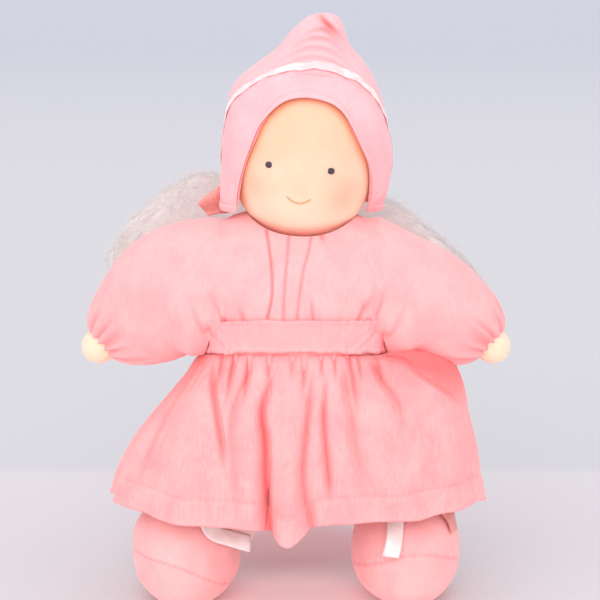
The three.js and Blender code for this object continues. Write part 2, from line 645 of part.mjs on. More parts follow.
// The tied ribbon's loose end, as shares of the foot's half width, half length and height.
const tailShares = {
  left: [
    [-0.26, -0.3, 1.08],
    [-0.24, -0.62, 1.04],
    [-0.24, -0.84, 0.88],
    [-0.27, -0.98, 0.74],
    [-0.32, -1.06, 0.6],
  ],
  right: [
    [-0.26, -0.3, 1.08],
    [-0.42, -0.6, 1.02],
    [-0.66, -0.74, 0.9],
    [-0.9, -0.8, 0.8],
    [-1.14, -0.82, 0.72],
  ],
};

function ribbonTail(side, name) {
  const route = tailShares[name].map(([across, back, up]) => {
    const x = side * (FOOT_SPREAD + across * FOOT_HALF_WIDTH);
    return new THREE.Vector3(x, FOOT_BACK + back * FOOT_HALF_LENGTH, up * FOOT_HEIGHT);
  });
  const rows = 10;
  const path = new THREE.CatmullRomCurve3(route);
  const sections = [];
  for (let i = 0; i <= rows; i++) {
    const at = path.getPoint(i / rows);
    const along = path.getTangent(i / rows);
    const foot = new THREE.Vector3(side * FOOT_SPREAD, FOOT_BACK, FOOT_HEIGHT / 2);
    const out = at.clone().sub(foot);
    const across = new THREE.Vector3().crossVectors(along, out).normalize();
    const up = new THREE.Vector3().crossVectors(across, along).normalize();
    const w = ANKLE_RIBBON_WIDTH / 2;
    const t = RIBBON / 2;
    sections.push([
      at.clone().addScaledVector(across, -w).addScaledVector(up, -t),
      at.clone().addScaledVector(across, w).addScaledVector(up, -t),
      at.clone().addScaledVector(across, w).addScaledVector(up, t),
      at.clone().addScaledVector(across, -w).addScaledVector(up, t),
    ]);
  }
  return loft(sections);
}

function leg(side, name) {
  const cover = legForm(side, 0, 0, 0).subtract(legForm(side, -VELOUR, OVERRUN, OVERRUN));
  piece(`leg_cover_${name}`, cover, cloth(PINK_DEEP), doll);
  piece(`leg_stuffing_${name}`, legForm(side, -VELOUR - SEAM_GAP, 0, 0), cloth(WOOL), doll);

  const legSpace = legForm(side, SEAM_GAP, SEAM_GAP, OVERRUN);
  const cuff = legForm(side, SEAM_GAP + VELOUR, 0, 0).intersect(slice(cuffFoot, cuffTop));
  const bootie = footForm(side, 0)
    .add(cuff)
    .subtract(footForm(side, -VELOUR))
    .subtract(legSpace);
  piece(`bootie_${name}`, bootie, cloth(PINK), doll);

  const footWool = footForm(side, -VELOUR - SEAM_GAP).subtract(legSpace);
  piece(`foot_stuffing_${name}`, footWool, cloth(WOOL), doll);

  const cuffSpace = SEAM_GAP + VELOUR + SEAM_GAP;
  const ribbon = legForm(side, cuffSpace + RIBBON, 0, 0)
    .intersect(slice(ribbonFoot, ribbonFoot + ANKLE_RIBBON_WIDTH))
    .add(ribbonTail(side, name))
    .subtract(legForm(side, cuffSpace, OVERRUN, OVERRUN))
    .subtract(footForm(side, SEAM_GAP));
  piece(`ankle_ribbon_${name}`, ribbon, cloth(SATIN, 0.35), doll);
}
leg(1, 'left');
leg(-1, 'right');

// Wings: two flat tufts of combed wool behind the shoulders, bound together at the middle.
const wingReachShares = [0, 0.1, 0.25, 0.38, 0.5, 0.65, 0.8, 0.92, 1];
const wingHeightShares = [0.18, 0.34, 0.62, 0.94, 1, 0.9, 0.68, 0.42, 0.12];
const wingThickShares = [0.8, 0.85, 0.95, 1, 1, 0.95, 0.8, 0.6, 0.2];
const wingRiseShares = [0, 0.1, 0.5, 0.85, 1, 0.8, 0.45, 0.1, -0.1];
const wingHeight = shoulderTop - WING_BELOW_TOP;
const backDepth = CHEST_HALF_DEPTH * torsoShare(torsoDepthShares, wingHeight);
const backLean = TORSO_LEAN * torsoShare(torsoLeanShares, wingHeight);
const wingBehind = backDepth + backLean + SEAM_GAP + WING_TIE_RADIUS + 2 * THREAD;
const wingForward = 13; // how far the tips come forward of the root
const wingForwardShares = [0, 0, 0, 0.1, 0.5, 0.9, 1, 1, 1];

function wing(side) {
  return loft(
    wingReachShares.map((share, i) => {
      const x = side * (SEAM_GAP + (WING_SPAN - SEAM_GAP) * share);
      const y = wingBehind - wingForward * wingForwardShares[i];
      const middle = new THREE.Vector3(x, y, wingHeight + WING_RISE * wingRiseShares[i]);
      const thick = WING_HALF_THICKNESS * wingThickShares[i];
      return section(middle, Y, Z, thick, WING_HALF_HEIGHT * wingHeightShares[i], LIMB_STEPS);
    }),
  );
}
piece('wing_left', wing(1), cloth(WOOL), doll);
piece('wing_right', wing(-1), cloth(WOOL), doll);
const wingTieMiddle = new THREE.Vector3(0, wingBehind, wingHeight);
piece('wing_tie', threadRing(WING_TIE_RADIUS + THREAD, THREAD, wingTieMiddle, X), cloth(WOOL), doll);

export default doll;
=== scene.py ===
"""A soft cloth doll with a pointed hood, puffed arms, a gathered skirt, wool wings and round booties."""
import functools
import math
import random

import bmesh
import bpy
from mathutils import Matrix, Vector, kdtree, noise
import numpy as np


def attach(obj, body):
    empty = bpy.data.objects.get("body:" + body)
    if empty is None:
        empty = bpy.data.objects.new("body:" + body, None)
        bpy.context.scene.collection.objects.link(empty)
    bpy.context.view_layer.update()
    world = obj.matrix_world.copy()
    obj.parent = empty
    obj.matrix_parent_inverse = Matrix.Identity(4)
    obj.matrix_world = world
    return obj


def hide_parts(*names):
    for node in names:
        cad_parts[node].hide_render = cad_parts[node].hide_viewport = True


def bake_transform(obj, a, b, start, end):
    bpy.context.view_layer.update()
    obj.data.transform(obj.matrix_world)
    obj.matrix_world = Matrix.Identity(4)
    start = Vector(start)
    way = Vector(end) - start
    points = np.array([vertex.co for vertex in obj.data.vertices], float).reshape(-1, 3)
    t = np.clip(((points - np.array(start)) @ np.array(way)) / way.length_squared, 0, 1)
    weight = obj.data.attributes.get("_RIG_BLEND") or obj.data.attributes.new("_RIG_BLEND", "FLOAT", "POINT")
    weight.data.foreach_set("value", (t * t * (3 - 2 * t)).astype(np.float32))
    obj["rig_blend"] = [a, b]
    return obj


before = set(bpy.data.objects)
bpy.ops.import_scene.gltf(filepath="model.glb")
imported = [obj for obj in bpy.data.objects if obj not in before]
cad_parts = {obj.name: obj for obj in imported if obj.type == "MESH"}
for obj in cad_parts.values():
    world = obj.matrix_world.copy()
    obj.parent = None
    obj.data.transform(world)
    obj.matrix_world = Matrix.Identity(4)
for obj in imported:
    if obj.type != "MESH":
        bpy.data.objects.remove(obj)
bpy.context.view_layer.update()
mm = 0.001

# The view: a camera a little above the doll's middle and a long lens, as for a small thing on a table.
# The table is a pale woven cloth in front of a bluish sweep, under soft light from the front. Shade and glow
# are painted on both.
camera = bpy.data.objects.new("camera", bpy.data.cameras.new("camera"))
camera.data.lens = 108.9
camera.data.sensor_width = 36
camera.data.clip_end = 200
look_at = Vector((2.4, 0, 187)) * mm
look_down = math.radians(10)
look_back = Vector((0, -math.cos(look_down), math.sin(look_down)))
view_distance = 1100 * mm
camera.location = look_at + view_distance * look_back
camera.rotation_euler = (math.pi / 2 - look_down, 0, 0)
bpy.context.scene.collection.objects.link(camera)
bpy.context.scene.camera = camera
bpy.context.scene.view_settings.view_transform = "Standard"


def soft_light(name, came_from, strength, width, colour):
    lamp = bpy.data.lights.new(name, "SUN")
    lamp.energy = strength
    lamp.angle = math.radians(width)
    lamp.color = colour
    light = bpy.data.objects.new(name, lamp)
    light.rotation_euler = Vector(came_from).to_track_quat("Z", "Y").to_euler()
    bpy.context.scene.collection.objects.link(light)


soft_light("key", (-0.5, -0.95, 0.75), 0.92, 70, (1, 0.99, 0.975))
soft_light("fill", (0.8, -0.95, 0.4), 0.58, 90, (0.99, 0.985, 1))
soft_light("low", (-0.1, -1, 0.25), 0.85, 50, (1, 0.985, 0.97))
soft_light("from_the_table", (0, -1, -0.8), 0.95, 80, (1, 0.97, 0.95))
world = bpy.data.worlds.new("studio")
bpy.context.scene.world = world
world.use_nodes = True
world.node_tree.nodes["Background"].inputs["Color"].default_value = (0.96, 0.965, 1, 1)
world.node_tree.nodes["Background"].inputs["Strength"].default_value = 1.08


def add_node(tree, kind, inputs=None, **settings):
    """A shader node with its settings made and its inputs set or linked."""
    made = tree.nodes.new("ShaderNode" + kind)
    for name, value in settings.items():
        setattr(made, name, value)
    for name, value in (inputs or {}).items():
        if isinstance(value, bpy.types.NodeSocket):
            tree.links.new(value, made.inputs[name])
        else:
            made.inputs[name].default_value = value
    return made


def new_material(name, **shader):
    """A material with its shader's own sockets set, and its node tree."""
    material = bpy.data.materials.new(name)
    material.use_nodes = True
    tree = material.node_tree
    principled = tree.nodes["Principled BSDF"]
    for socket, value in shader.items():
        principled.inputs[socket.replace("_", " ")].default_value = value
    return material, tree, principled.inputs


def between(tree, factor, first, second):
    """A colour mixed from two, which may be sockets."""
    mix = add_node(tree, "Mix", data_type="RGBA")
    for socket, value in ((0, factor), (6, first), (7, second)):
        if isinstance(value, bpy.types.NodeSocket):
            tree.links.new(value, mix.inputs[socket])
        else:
            mix.inputs[socket].default_value = value
    return mix.outputs[2]


def span(tree, value, low, high, to_low=0.0, to_high=1.0):
    """A value brought from one range to another, and held inside it."""
    inputs = {"Value": value, "From Min": low, "From Max": high, "To Min": to_low, "To Max": to_high}
    return add_node(tree, "MapRange", inputs, interpolation_type="SMOOTHSTEP").outputs["Result"]


def away_from(tree, place, scale, shift=(0, 0, 0)):
    """How far a place is from the middle of an oval on the table, which is 1 at its edge."""
    moved = add_node(tree, "Mapping", {"Vector": place, "Scale": scale, "Location": shift}).outputs[0]
    return add_node(tree, "VectorMath", {0: moved}, operation="LENGTH").outputs["Value"]


def raise_relief(tree, shader, heights, strength, depth):
    """Gives a material the fine relief of its threads or pile, to a depth in mm."""
    bump = add_node(tree, "Bump", {"Height": heights, "Strength": strength, "Distance": depth * mm})
    tree.links.new(bump.outputs[0], shader["Normal"])


def table_cloth():
    material, tree, shader = new_material("table_cloth", Roughness=0.95, Specular_IOR_Level=0.1)
    place = add_node(tree, "TexCoord").outputs["Object"]
    weave_period = 2.9 * mm
    threads = []
    for direction in ("X", "Y"):
        inputs = {"Vector": place, "Scale": math.pi / 10 / weave_period, "Distortion": 0.6, "Detail": 1.0}
        threads.append(add_node(tree, "TexWave", inputs, bands_direction=direction).outputs["Fac"])
    weave = add_node(tree, "Math", {0: threads[0], 1: threads[1]}, operation="ADD").outputs[0]
    apart = add_node(tree, "SeparateXYZ", {0: place})
    cloth_end = 290 * mm
    on_sweep = span(tree, apart.outputs["Y"], cloth_end - 14 * mm, cloth_end + 14 * mm)
    # Painted shade: the sweep turns darker and bluer far off.
    far_off_shade = span(tree, apart.outputs["Y"], 0.3, 9.0)
    cloth = between(tree, span(tree, weave, 0.4, 1.6), (0.59, 0.56, 0.58, 1), (0.62, 0.59, 0.615, 1))
    # Painted light: a pink glow on the cloth under the doll, thrown down from the pink cloth above.
    from_painted_glow = away_from(tree, place, (16, 18, 1))
    cloth = between(tree, span(tree, from_painted_glow, 0.4, 1.3, 1.0, 0.0), cloth, (0.95, 0.80, 0.81, 1))
    # Painted shadow: a dark red oval on the cloth behind the doll, where its shadow falls with pink light in
    # it.
    from_painted_shadow = away_from(tree, place, (13, 16, 1), (0, -1.62, 0))
    cloth = between(tree, span(tree, from_painted_shadow, 0.4, 1.4, 0.62, 0.0), cloth, (0.58, 0.23, 0.235, 1))
    sweep = between(tree, far_off_shade, (0.55, 0.54, 0.565, 1), (0.475, 0.48, 0.54, 1))
    tree.links.new(between(tree, on_sweep, cloth, sweep), shader["Base Color"])
    raise_relief(tree, shader, weave, 0.12, 0.3)
    return material


def as_object(name, bm, material):
    """The finished mesh as an object at the origin."""
    mesh = bpy.data.meshes.new(name)
    bm.to_mesh(mesh)
    bm.free()
    made = bpy.data.objects.new(name, mesh)
    bpy.context.scene.collection.objects.link(made)
    mesh.materials.append(material)
    for face in mesh.polygons:
        face.use_smooth = True
    return made


ground = bmesh.new()
ground_reach = 60
bmesh.ops.create_grid(ground, x_segments=1, y_segments=1, size=ground_reach)
table = as_object("table", ground, table_cloth())
table.visible_shadow = False


# Head: a ball of wound wool in a knit skin, tied off at eye height and at the neck and drawn smooth over
# the face. It sits tilted to the doll's left between the shoulders. Red crayon is rubbed on the cheeks.
neck_point = Vector((0, 8, 222)) * mm
head_tilt = math.radians(5.5)
head_turn = math.radians(-3.5)
head_place = Matrix.Translation(neck_point) @ Matrix.Rotation(head_tilt, 4, "Y")
head_place = head_place @ Matrix.Rotation(head_turn, 4, "Z")
head_radius = 42
head_half_height = 44.5
head_crown = 51
head_fullness = 2.25
head_middle = 47.5
neck_radius = 12.5
neck_foot = -13


def hump(distance, width):
    """A smooth hump of height 1 that falls away from a line or a point."""
    return math.exp(-((distance / width) ** 2))


def step(low, high, x):
    """0 below low, 1 above high and smooth between."""
    t = min(max((x - low) / (high - low), 0.0), 1.0)
    return t * t * (3 - 2 * t)


def through(knots, x):
    """The height at x of a smooth curve through a row of (x, y) knots."""
    if x <= knots[0][0]:
        return knots[0][1]
    if x >= knots[-1][0]:
        return knots[-1][1]
    i = next(k for k in range(1, len(knots)) if knots[k][0] >= x)
    (x0, y0), (x1, y1) = knots[i - 1], knots[i]
    before, after = knots[max(i - 2, 0)], knots[min(i + 1, len(knots) - 1)]
    slope0 = (y1 - before[1]) / (x1 - before[0])
    slope1 = (after[1] - y0) / (after[0] - x0)
    width = x1 - x0
    t = (x - x0) / width
    rise = y0 * (2 * t**3 - 3 * t * t + 1) + y1 * (3 * t * t - 2 * t**3)
    return rise + width * (slope0 * (t**3 - 2 * t * t + t) + slope1 * (t**3 - t * t))


def face_relief(x, z):
    """How far the face stands out of the plain round form, in mm, at a place seen from the front."""
    cheeks = 0.6 * hump(abs(x) - 22, 15) * hump(z + 15, 13)
    chin = 0.5 * hump(x, 16) * hump(z + 31, 11)
    eye_line = -0.35 * hump(z - 3, 8) * hump(x, 40)
    smile = -0.25 * hump(x, 10) * hump(z + 17, 4)
    return cheeks + chin + eye_line + smile


def head_girth(z, off=0.0):
    """The radius of the plain head at a height above its middle, in mm."""
    half = (head_crown if z > 0 else head_half_height) + off
    rise = min(abs(z) / half, 1.0)
    return (head_radius + off) * (1 - rise**head_fullness) ** (1 / head_fullness)


def face_point(x, z, off=0.0):
    """The point of the face's surface at x and z, in the head's own millimetres, moved off by a length."""
    depth = -math.sqrt(max(head_girth(z) ** 2 - x * x, 0))
    slope = (head_girth(z + 0.5) - head_girth(z - 0.5)) * head_girth(z) / max(-depth, 1)
    out = Vector((x / max(-depth, 1), -1, -slope)).normalized()
    return Vector((x, depth, z + head_middle)) + out * (face_relief(x, z) + off)


def on_head(point):
    return head_place @ (Vector(point) * mm)


def speckle(tree, place, scale, detail, distortion=0.0):
    """Soft noise over a material, with so many grains to the metre."""
    inputs = {"Vector": place, "Scale": scale, "Detail": detail, "Distortion": distortion}
    return add_node(tree, "TexNoise", inputs).outputs["Fac"]


def skin_knit():
    # The skin's faint orange emission is a painted glow.
    material, tree, shader = new_material(
        "skin_knit", Roughness=0.75, Sheen_Weight=0.25, Sheen_Roughness=0.5,
        Subsurface_Weight=0.12, Subsurface_Radius=(1, 0.45, 0.25), Subsurface_Scale=2.5 * mm,
        Emission_Color=(1, 0.5, 0.3, 1), Emission_Strength=0.05,
    )
    place = add_node(tree, "TexCoord").outputs["Object"]
    blush = add_node(tree, "Attribute", attribute_name="blush").outputs["Fac"]
    warmth = add_node(tree, "Attribute", attribute_name="warmth").outputs["Fac"]
    cloud = speckle(tree, place, 70, 3)
    fine = speckle(tree, place, 1500, 2)
    skin = between(tree, span(tree, cloud, 0.35, 0.65), (0.80, 0.475, 0.33, 1), (0.83, 0.51, 0.37, 1))
    # Painted light and shade by height: lighter low on the face and on the hands, darker over the brow.
    height = add_node(tree, "SeparateXYZ", {0: place}).outputs["Z"]
    skin = between(tree, span(tree, height, 0.262, 0.225, 0.0, 0.85), skin, (0.93, 0.66, 0.50, 1))
    skin = between(tree, span(tree, height, 0.19, 0.18, 0.0, 0.4), skin, (0.82, 0.50, 0.36, 1))
    skin = between(tree, span(tree, height, 0.268, 0.290, 0.0, 0.6), skin, (0.77, 0.41, 0.26, 1))
    skin = between(tree, warmth, skin, (0.88, 0.35, 0.17, 1))
    skin = between(tree, blush, skin, (0.83, 0.33, 0.23, 1))
    tree.links.new(skin, shader["Base Color"])
    squeezed = add_node(tree, "Mapping", {"Vector": place, "Scale": (1.0, 1.0, 0.35)}).outputs[0]
    wales = speckle(tree, squeezed, 1900, 1)
    both = add_node(tree, "Math", {0: wales, 1: fine}, operation="ADD").outputs[0]
    raise_relief(tree, shader, both, 0.2, 0.12)
    return material


def rub_on(made, name, amount):
    """Writes an amount at every point of a mesh, for its material to read."""
    shade = made.data.attributes.new(name, "FLOAT", "POINT")
    for vert in made.data.vertices:
        shade.data[vert.index].value = amount(vert.co)


skin = skin_knit()
hood_rim = 24
# The edge of the hood's opening: its place to the doll's right and left at heights above the hood's rim.
opening_right_side = [(0, -34.8), (9.3, -36), (21.9, -33.8), (31.4, -30.2), (39.9, -28), (48.4, -24.7),
                      (58, -15.7), (62.4, -9.5), (64.4, -4.5), (65.2, 0.5)]
opening_left_side = [(0, 40.5), (3.8, 41.3), (13.3, 42.8), (25.6, 41.1), (37.5, 34.7), (51.6, 26.4),
                     (57.5, 21.1), (63.1, 13.0), (64.9, 5.5), (65.2, 1.5)]
opening_top = 65.2


def opening_at(height):
    """The middle and the half width of the hood's opening at a height above its rim, in mm."""
    right, left = through(opening_right_side, height), through(opening_left_side, height)
    return (left + right) / 2, (left - right) / 2


ball = bmesh.new()
bmesh.ops.create_uvsphere(ball, u_segments=112, v_segments=72, radius=1)
for vert in ball.verts:
    x, y, z = vert.co
    level = math.asin(max(min(z, 1.0), -1.0)) / (math.pi / 2)
    height = math.sin(level * math.pi / 2) * (head_crown if z > 0 else head_half_height)
    flat = Vector((x, y, 0)).normalized() * head_girth(height)
    relief = face_relief(flat.x, height) * step(0.1, -0.5, y)
    spot = flat + Vector((0, 0, height + head_middle)) + Vector((x, y, z)) * relief
    into_neck = step(neck_radius + 1, neck_radius - 2, math.hypot(spot.x, spot.y)) * step(0, -0.5, z)
    spot.z += (neck_foot - spot.z) * into_neck
    vert.co = on_head(spot)
head = as_object("head", ball, skin)
from_head = head_place.inverted()
crayon_spots = ((-26.5, -12, 8.5, 0.42), (26, -14.5, 10.5, 0.62))
cheeks = [(face_point(x, z), width, amount) for x, z, width, amount in crayon_spots]


def blush_at(point):
    spot = from_head @ point / mm
    return sum(amount * hump((spot - middle).length, width) for middle, width, amount in cheeks)


def warmth_at(point):
    """Where the light that comes off the hood warms the skin: in a narrow rim along the hood's edge."""
    spot = from_head @ point / mm
    height = spot.z - hood_rim
    middle, half = opening_at(height)
    inside = half - abs(spot.x - middle)
    return 0.9 * step(7.5, -0.5, min(inside, (opening_top - height) * 1.4))


rub_on(head, "blush", blush_at)
rub_on(head, "warmth", warmth_at)
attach(head, "head")
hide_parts("head_skin", "head_core", "eye_line_tie", "neck_tie")


# Eyes and mouth: embroidered through the skin with two strands of floss. An eye is a small pad of upright
# satin stitches, and the smile is a row of back stitches, each with one end under the next.
def floss(name, dark, light):
    material, tree, shader = new_material(name, Roughness=0.45, Sheen_Weight=0.2, Sheen_Roughness=0.4)
    place = add_node(tree, "TexCoord").outputs["Object"]
    strands = speckle(tree, place, 4500, 2)
    tree.links.new(between(tree, span(tree, strands, 0.4, 0.6), dark, light), shader["Base Color"])
    raise_relief(tree, shader, strands, 0.4, 0.1)
    return material


def lay_grid(bm, columns, rows, place):
    """A grid of faces laid out by place(u, v), with u and v from 0 to 1, and kept on every point."""
    share = bm.verts.layers.float_vector.get("share") or bm.verts.layers.float_vector.new("share")
    made = bmesh.ops.create_grid(bm, x_segments=columns, y_segments=rows, size=0.5)["verts"]
    for vert in made:
        u, v = vert.co.x + 0.5, vert.co.y + 0.5
        vert[share] = (u, v, 0)
        vert.co = place(u, v)


def close_up(bm, tight=0.02 * mm):
    """Merges what meets and turns every face outwards."""
    bmesh.ops.remove_doubles(bm, verts=bm.verts[:], dist=tight)
    bmesh.ops.recalc_face_normals(bm, faces=bm.faces[:])


def along_points(points, t):
    """A point on the smooth line through a row of points, at t from 0 to 1."""
    spot = min(max(t, 0.0), 1.0) * (len(points) - 1)
    i = min(int(spot), len(points) - 2)
    f = spot - i
    p1, p2 = Vector(points[i]), Vector(points[i + 1])
    p0 = Vector(points[i - 1]) if i else 2 * p1 - p2
    p3 = Vector(points[i + 2]) if i + 2 < len(points) else 2 * p2 - p1
    straight = 2 * p1 + (p2 - p0) * f
    return 0.5 * (straight + (2 * p0 - 5 * p1 + 4 * p2 - p3) * f * f + (3 * p1 - p0 - 3 * p2 + p3) * f**3)


stitch_gap = 0.004


def heading(points, t):
    """The way that the smooth line runs at t."""
    return along_points(points, min(t + 0.02, 1.0)) - along_points(points, max(t - 0.02, 0.0))


def thread_along(bm, points, radius, sides=8, rows=10):
    """A round thread along a smooth line, drawn in to a point at both ends."""
    def place(u, v):
        middle = along_points(points, v)
        ahead = heading(points, v)
        side = ahead.cross(Vector((0.1, 0.3, 1))).normalized()
        up = side.cross(ahead).normalized()
        girth = radius * min(math.sqrt(max(v * (1 - v), 0)) * 5, 1.0)
        angle = 2 * math.pi * u
        return middle + girth * (side * math.cos(angle) + up * math.sin(angle))

    lay_grid(bm, sides, rows, place)


eye_floss = floss("eye_floss", (0.035, 0.018, 0.035, 1), (0.075, 0.045, 0.075, 1))
mouth_floss = floss("mouth_floss", (0.50, 0.27, 0.12, 1), (0.62, 0.38, 0.20, 1))
eye_radius = 1.9
eye_spread = 18.3
eye_above_middle = 0.8
eye_stitches = 7
eye_stitch_radius = 0.36
for side, name in ((1, "left"), (-1, "right")):
    eye = bmesh.new()
    for k in range(eye_stitches):
        across = (k / (eye_stitches - 1) * 2 - 1) * (eye_radius - eye_stitch_radius)
        tall = math.sqrt(eye_radius**2 - across**2) * 0.95
        x = side * eye_spread + across
        puff = 0.25 + 0.35 * (1 - (across / eye_radius) ** 2)
        ends = [face_point(x, eye_above_middle + share * tall, lift) for share, lift in
                ((-1, -0.25), (-0.75, puff * 0.7), (0, puff), (0.75, puff * 0.7), (1, -0.25))]
        thread_along(eye, [on_head(p) for p in ends], eye_stitch_radius * mm)
    close_up(eye, stitch_gap * mm)
    pad = as_object(f"embroidered_eye_{name}", eye, eye_floss)
    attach(pad, "head")
    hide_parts(f"eye_{name}")

mouth_half_width = 6.7
mouth_below_middle = 16.6
mouth_curve = 3.0
mouth_aside = 1.2
mouth_stitches = 5
mouth = bmesh.new()
for k in range(mouth_stitches):
    route = []
    for share, lift in ((-0.06, -0.1), (0.1, 0.28), (0.5, 0.38), (0.9, 0.3), (1.06, -0.1)):
        t = (k + share) / mouth_stitches * 2 - 1
        z = -mouth_below_middle - mouth_curve * (1 - t * t)
        route.append(on_head(face_point(mouth_aside + t * mouth_half_width, z, lift)))
    thread_along(mouth, route, 0.42 * mm)
close_up(mouth, stitch_gap * mm)
smile = as_object("embroidered_mouth", mouth, mouth_floss)
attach(smile, "head")
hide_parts("mouth")


# Hood: a pointed cap of doubled velour, closed at the crown and sewn to the head round the face. Its edge
# is rolled to a hem, the cloth falls in frowning wrinkles below the tip, and the tip itself is folded over.
def velour(name, light, deep, ribs=0.35):
    """Cotton velour: a short dense pile over the upright ribs of its knit, with painted shade where it is
    folded in and a faint painted glow.
    """
    material, tree, shader = new_material(
        name, Roughness=0.9, Specular_IOR_Level=0.15, Sheen_Weight=0.3, Sheen_Roughness=0.45,
        Sheen_Tint=(1, 0.84, 0.86, 1), Emission_Color=(1, 0.3, 0.3, 1), Emission_Strength=0.05,
    )
    place = add_node(tree, "Attribute", attribute_name="cloth_place").outputs["Vector"]
    fold = add_node(tree, "Attribute", attribute_name="fold").outputs["Fac"]
    drawn = add_node(tree, "Mapping", {"Vector": place, "Scale": (1.0, 1.0, 0.08)}).outputs[0]
    wales = speckle(tree, drawn, 950, 1)
    pile = speckle(tree, place, 1700, 2)
    patches = speckle(tree, place, 60, 3, 0.5)
    lie = add_node(tree, "Mix", {"Factor": ribs, "A": patches, "B": wales}).outputs[0]
    cloth = between(tree, span(tree, lie, 0.3, 0.7), deep, light)
    cloth = between(tree, span(tree, pile, 0.35, 0.7, 0.0, 0.45), cloth, deep)
    # Painted shade: where the fold attribute is set the cloth turns deep red.
    tree.links.new(between(tree, fold, cloth, (0.76, 0.15, 0.15, 1)), shader["Base Color"])
    heights = add_node(tree, "Mix", {"Factor": ribs, "A": pile, "B": wales}).outputs[0]
    raise_relief(tree, shader, heights, 0.6, 0.5)
    return material


def cloth_object(name, bm, material):
    """A piece of cloth whose pattern stays on it when it bends."""
    made = as_object(name, bm, material)
    rest = made.data.attributes.new("cloth_place", "FLOAT_VECTOR", "POINT")
    for vert in made.data.vertices:
        rest.data[vert.index].vector = vert.co
    return made


def with_modifiers(made, *changes):
    """Adds modifiers, each a type and its settings, and applies them all."""
    for kind, settings in changes:
        modifier = made.modifiers.new(kind.lower(), kind)
        for name, value in settings.items():
            setattr(modifier, name, value)
    bpy.context.view_layer.update()
    shown = made.evaluated_get(bpy.context.evaluated_depsgraph_get())
    old = made.data
    made.data = bpy.data.meshes.new_from_object(shown)
    made.modifiers.clear()
    bpy.data.meshes.remove(old)


pink = velour("pink_velour", (0.92, 0.415, 0.41, 1), (0.87, 0.335, 0.345, 1))
hood_radius = 51.2
hood_height = 114
hood_profile = [(0, 0.955), (0.083, 0.99), (0.235, 1), (0.391, 0.973), (0.522, 0.92), (0.626, 0.815),
                (0.713, 0.66), (0.791, 0.488), (0.852, 0.375), (0.913, 0.29), (0.96, 0.215),
                (0.985, 0.14), (1, 0)]
hood_lean = [(0, 1.5), (0.235, 1.5), (0.391, 0), (0.522, -1.6), (0.626, -1.2), (0.713, 0.6), (0.791, 2.2),
             (0.852, 1.8), (0.913, 2), (1, 5)]
hood_back = [(0, 2), (0.391, 2), (0.522, 2.4), (0.713, 3.6), (0.852, 5.2), (1, 8)]
hood_flat = [(0, 1), (0.235, 1), (0.42, 0.92), (0.55, 0.84), (0.7, 0.86), (0.85, 0.95), (1, 1)]
right_corner_drop = 9
left_corner_drop = 3


def hood_at(azimuth, height, off=0.0):
    """A point of the hood's plain form. Azimuth 0 is in front and a quarter turn is the doll's left."""
    share = height / hood_height
    radius = hood_radius * through(hood_profile, share) + off
    flat = through(hood_flat, share) if math.cos(azimuth) > 0 else 1.0
    return Vector((
        through(hood_lean, share) + radius * math.sin(azimuth),
        through(hood_back, share) - radius * math.cos(azimuth) * flat,
        hood_rim + height,
    ))


hood_off = 3.2


def azimuth_of(x, height):
    """Where the hood's edge, which lies on the face, has to be so that it is seen at x."""
    return math.asin(min(max(x / (head_girth(hood_rim + height - head_middle) + hood_off), -0.995), 0.995))


def hood_edge(columns):
    """The hood's edge as (azimuth, height) points at even steps: up over the face and round the nape."""
    heights = [opening_top * math.sin(math.pi / 2 * k / 12) for k in range(13)]
    line = [(azimuth_of(through(opening_left_side, height), height), height) for height in reversed(heights)]
    top, corner = line[0][0], line[-1][0]
    far_corner = azimuth_of(through(opening_right_side, 0), 0) + 2 * math.pi
    round_steps = 24
    for k in range(1, round_steps):
        line.append((corner + (far_corner - corner) * k / round_steps, 0))
    for height in heights[:-1]:
        line.append((azimuth_of(through(opening_right_side, height), height) + 2 * math.pi, height))
    line.append((top + 2 * math.pi, opening_top))
    flat = [Vector((a * hood_radius, h)) for a, h in line]
    lengths = [0.0]
    for p, q in zip(flat, flat[1:]):
        lengths.append(lengths[-1] + (q - p).length)
    points = []
    for k in range(columns):
        want = lengths[-1] * k / columns
        i = next(n for n in range(1, len(lengths)) if lengths[n] >= want)
        f = (want - lengths[i - 1]) / (lengths[i] - lengths[i - 1])
        points.append(flat[i - 1].lerp(flat[i], f))
    turn = Vector((2 * math.pi * hood_radius, 0))
    for _ in range(10):
        ahead = points[1:] + [points[0] + turn]
        behind = [points[-1] - turn] + points[:-1]
        points = [p * 0.4 + (q + r) * 0.3 for p, q, r in zip(points, ahead, behind)]
    return [(p.x / hood_radius, p.y) for p in points]


hood_columns = 240
hood_rows = 84
hem_rows = 14
hem_width = 5.2
edge = hood_edge(hood_columns)
arch_points = []
for k in range(81):
    for side_line in (opening_right_side, opening_left_side):
        height = opening_top * math.sin(math.pi / 2 * k / 80)
        arch_points.append(Vector((azimuth_of(through(side_line, height), height) * hood_radius, height, 0)))
arch = kdtree.KDTree(len(arch_points))
for k, point in enumerate(arch_points):
    arch.insert(point, k)
arch.balance()


frowns = ((104, 5, 10, 1.1), (99, 7, 15, 1.1), (93.5, 8, 19, 1.0), (88, 9, 22, 0.8), (83, 9, 25, 0.5))


def tip_fold(x, height):
    """How near a place is to the line where the hood's tip is folded over to the doll's left."""
    return height - 111 + 0.75 * (x - 2)


def hood_wrinkles(x, height):
    """Frowning wrinkles over the brow of the hood, in mm, at a place seen from the front."""
    relief = 0.0
    for top, sag, half, depth in frowns:
        frown = top - sag * ((x - 3) / half) ** 2
        fade = hump(x - 3, half * 1.05)
        relief += depth * fade * (hump(height - frown - 1.6, 1.8) - 1.2 * hump(height - frown, 1.1))
    return relief


